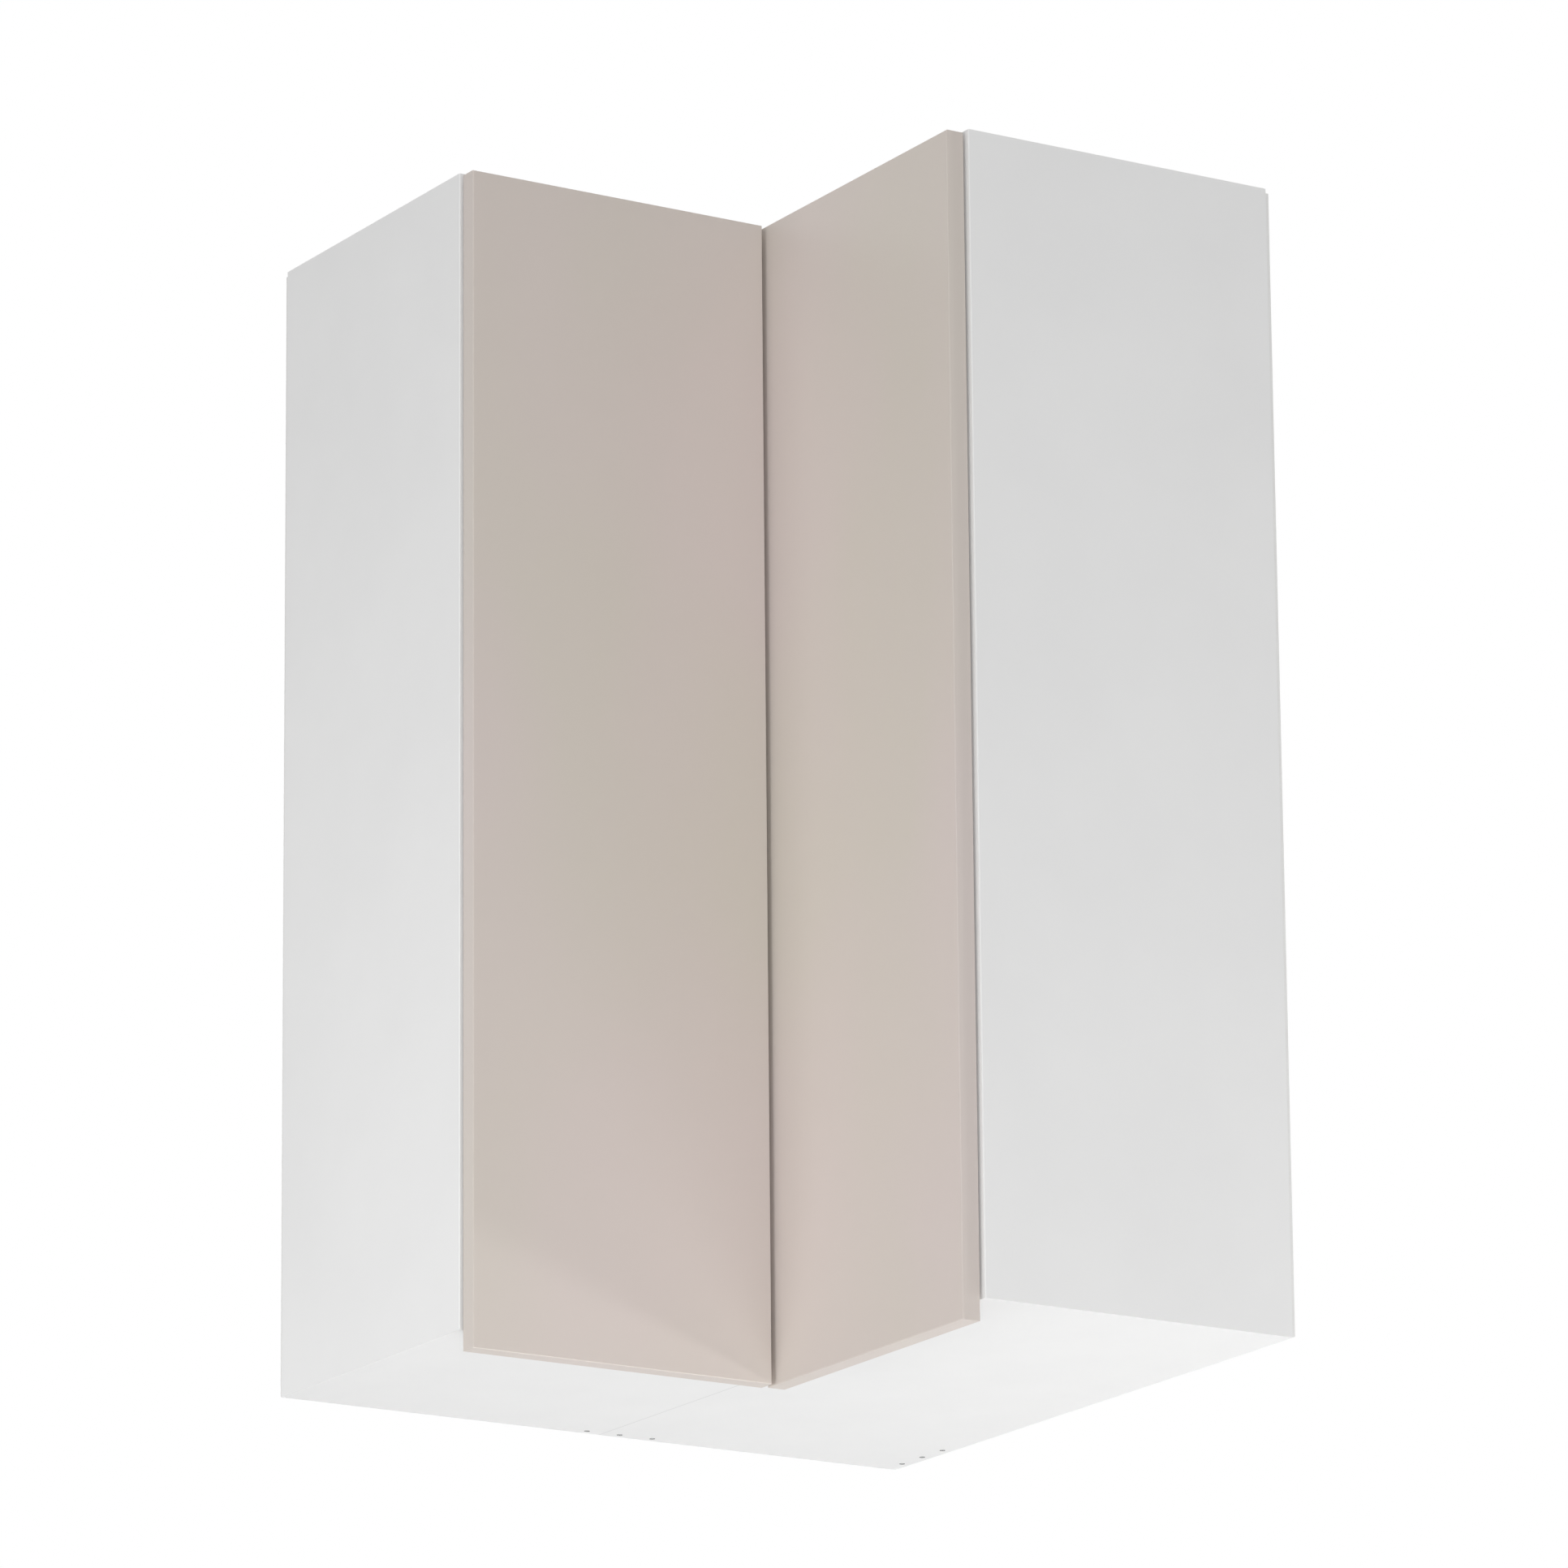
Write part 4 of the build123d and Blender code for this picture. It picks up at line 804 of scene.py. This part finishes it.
head, proud = nail["head"], nail["proud"]
data = turned([(0, -nail["stem"]), (head * nail["stemWide"], -nail["stem"]), (head, 0),
               (head * nail["shoulder"][0], proud * nail["shoulder"][1]), (head * nail["crown"], proud),
               (0, proud)], nail["steps"])
upward = evenly(rearSheet["low"], rearSheet["high"])
sideways = evenly(rearSheet["outer"], rearSheet["inner"])
endRows = [(across, z) for across in sideways for z in (rearSheet["low"], rearSheet["high"])]
nailsLeft = ([(x, z) for x in (rearSheet["outer"], rearSheet["inner"]) for z in upward] + endRows
             + [(x, z) for x in rearSheet["uprightRows"] for z in upward[1:-1:2]])
nailsRight = ([(rearSheet["outer"], z) for z in upward] + endRows
              + [(y, z) for y in rearSheet["cornerRows"] for z in upward[::2]])
spots = ([placed((0, 1, 0), (x * mm, 0, z * mm)) for x, z in nailsLeft]
         + [placed((1, 0, 0), (0, y * mm, z * mm)) for y, z in nailsRight])
nails = copiesOf("back_panel_nails", data, spots, looks["zinc_steel"], sharp=180)
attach(nails, "carcass")
print("pins and nails made")


# floor, background and light
stageLook = {"level": -3.4, "size": 60, "parts": 8, "colour": (0.84, 0.84, 0.84), "paler": 1.03, "grain": (3, 2),
             "roughness": 0.8, "specular": 0.1, "glow": 0.7, "ambient": 0.32, "background": 1.0}
lamps = {
    "key": {"place": (-3.6, -6.3, -1.5), "aim": (-0.3, -0.3, 0.4), "size": 2.0, "power": 180},
    "left": {"place": (-2.8, -0.4, -0.8), "aim": (-0.6, -0.3, 0.3), "size": 1.2, "power": 26},
    "below": {"place": (0.4, -0.9, -1.9), "aim": (-0.3, -0.3, 0.0), "size": 1.6, "power": 22},
    "right": {"place": (2.2, -1.64, -0.9), "aim": (-0.3, -0.6, 0.5), "size": 0.3, "power": 17},
    "rear": {"place": (2.6, 3.4, 0.8), "aim": (-0.3, -0.3, 0.5), "size": 2.4, "power": 70},
    "top": {"place": (-0.4, -0.5, 4.2), "aim": (-0.3, -0.3, 0.9), "size": 2.4, "power": 40},
}


def mixShaders(tree, amount, first, second, output):
    chooser = tree.nodes.new("ShaderNodeMixShader")
    tree.links.new(amount, chooser.inputs["Fac"])
    tree.links.new(first.outputs[0], chooser.inputs[1])
    tree.links.new(second.outputs[0], chooser.inputs[2])
    tree.links.new(chooser.outputs[0], tree.nodes[output].inputs["Surface"])


def makeFloor():
    mesh = bmesh.new()
    bmesh.ops.create_grid(mesh, x_segments=stageLook["parts"], y_segments=stageLook["parts"],
                          size=stageLook["size"] / 2)
    data = bpy.data.meshes.new("floor")
    mesh.to_mesh(data)
    mesh.free()
    floor = bpy.data.objects.new("floor", data)
    floor.location = (0, 0, stageLook["level"])
    bpy.context.scene.collection.objects.link(floor)
    material, tree, shader = newMaterial("floor", stageLook)
    grain = noise(tree, objectCoords(tree), *stageLook["grain"])
    paler = tuple(c * stageLook["paler"] for c in stageLook["colour"])
    tree.links.new(blendColours(tree, grain, stageLook["colour"], paler), shader.inputs["Base Color"])
    # the camera sees it paler, with the shadow kept, and looks through it from below
    path = tree.nodes.new("ShaderNodeLightPath")
    glow = tree.nodes.new("ShaderNodeEmission")
    tree.links.new(reckon(tree, "MULTIPLY", path.outputs["Is Camera Ray"], stageLook["glow"]),
                   glow.inputs["Strength"])
    both = tree.nodes.new("ShaderNodeAddShader")
    tree.links.new(shader.outputs[0], both.inputs[0])
    tree.links.new(glow.outputs[0], both.inputs[1])
    side = tree.nodes.new("ShaderNodeNewGeometry")
    clear = tree.nodes.new("ShaderNodeBsdfTransparent")
    mixShaders(tree, side.outputs["Backfacing"], both, clear, "Material Output")
    floor.data.materials.append(material)


def makeWorld():
    # grey light for the object, and plain white where the camera, metal or glass looks past it
    world = bpy.data.worlds.new("studio")
    bpy.context.scene.world = world
    world.use_nodes = True
    tree = world.node_tree
    light, seen = tree.nodes["Background"], tree.nodes.new("ShaderNodeBackground")
    for node, strength in ((light, stageLook["ambient"]), (seen, stageLook["background"])):
        node.inputs["Color"].default_value = (1, 1, 1, 1)
        node.inputs["Strength"].default_value = strength
    path = tree.nodes.new("ShaderNodeLightPath")
    glossOrGlass = reckon(tree, "MAXIMUM", path.outputs["Is Glossy Ray"], path.outputs["Is Transmission Ray"])
    either = reckon(tree, "MAXIMUM", path.outputs["Is Camera Ray"], glossOrGlass)
    mixShaders(tree, either, light, seen, "World Output")


def makeLamp(name):
    lamp = lamps[name]
    data = bpy.data.lights.new(name, "AREA")
    data.size = lamp["size"]
    data.energy = lamp["power"]
    light = bpy.data.objects.new(name, data)
    light.location = lamp["place"]
    away = Vector(lamp["place"]) - Vector(lamp["aim"])
    light.rotation_euler = away.to_track_quat("Z", "Y").to_euler()
    light.visible_camera = False
    bpy.context.scene.collection.objects.link(light)


makeFloor()
makeWorld()
for name in lamps:
    makeLamp(name)
bpy.context.scene.view_settings.view_transform = "Standard"
print("stage lit")
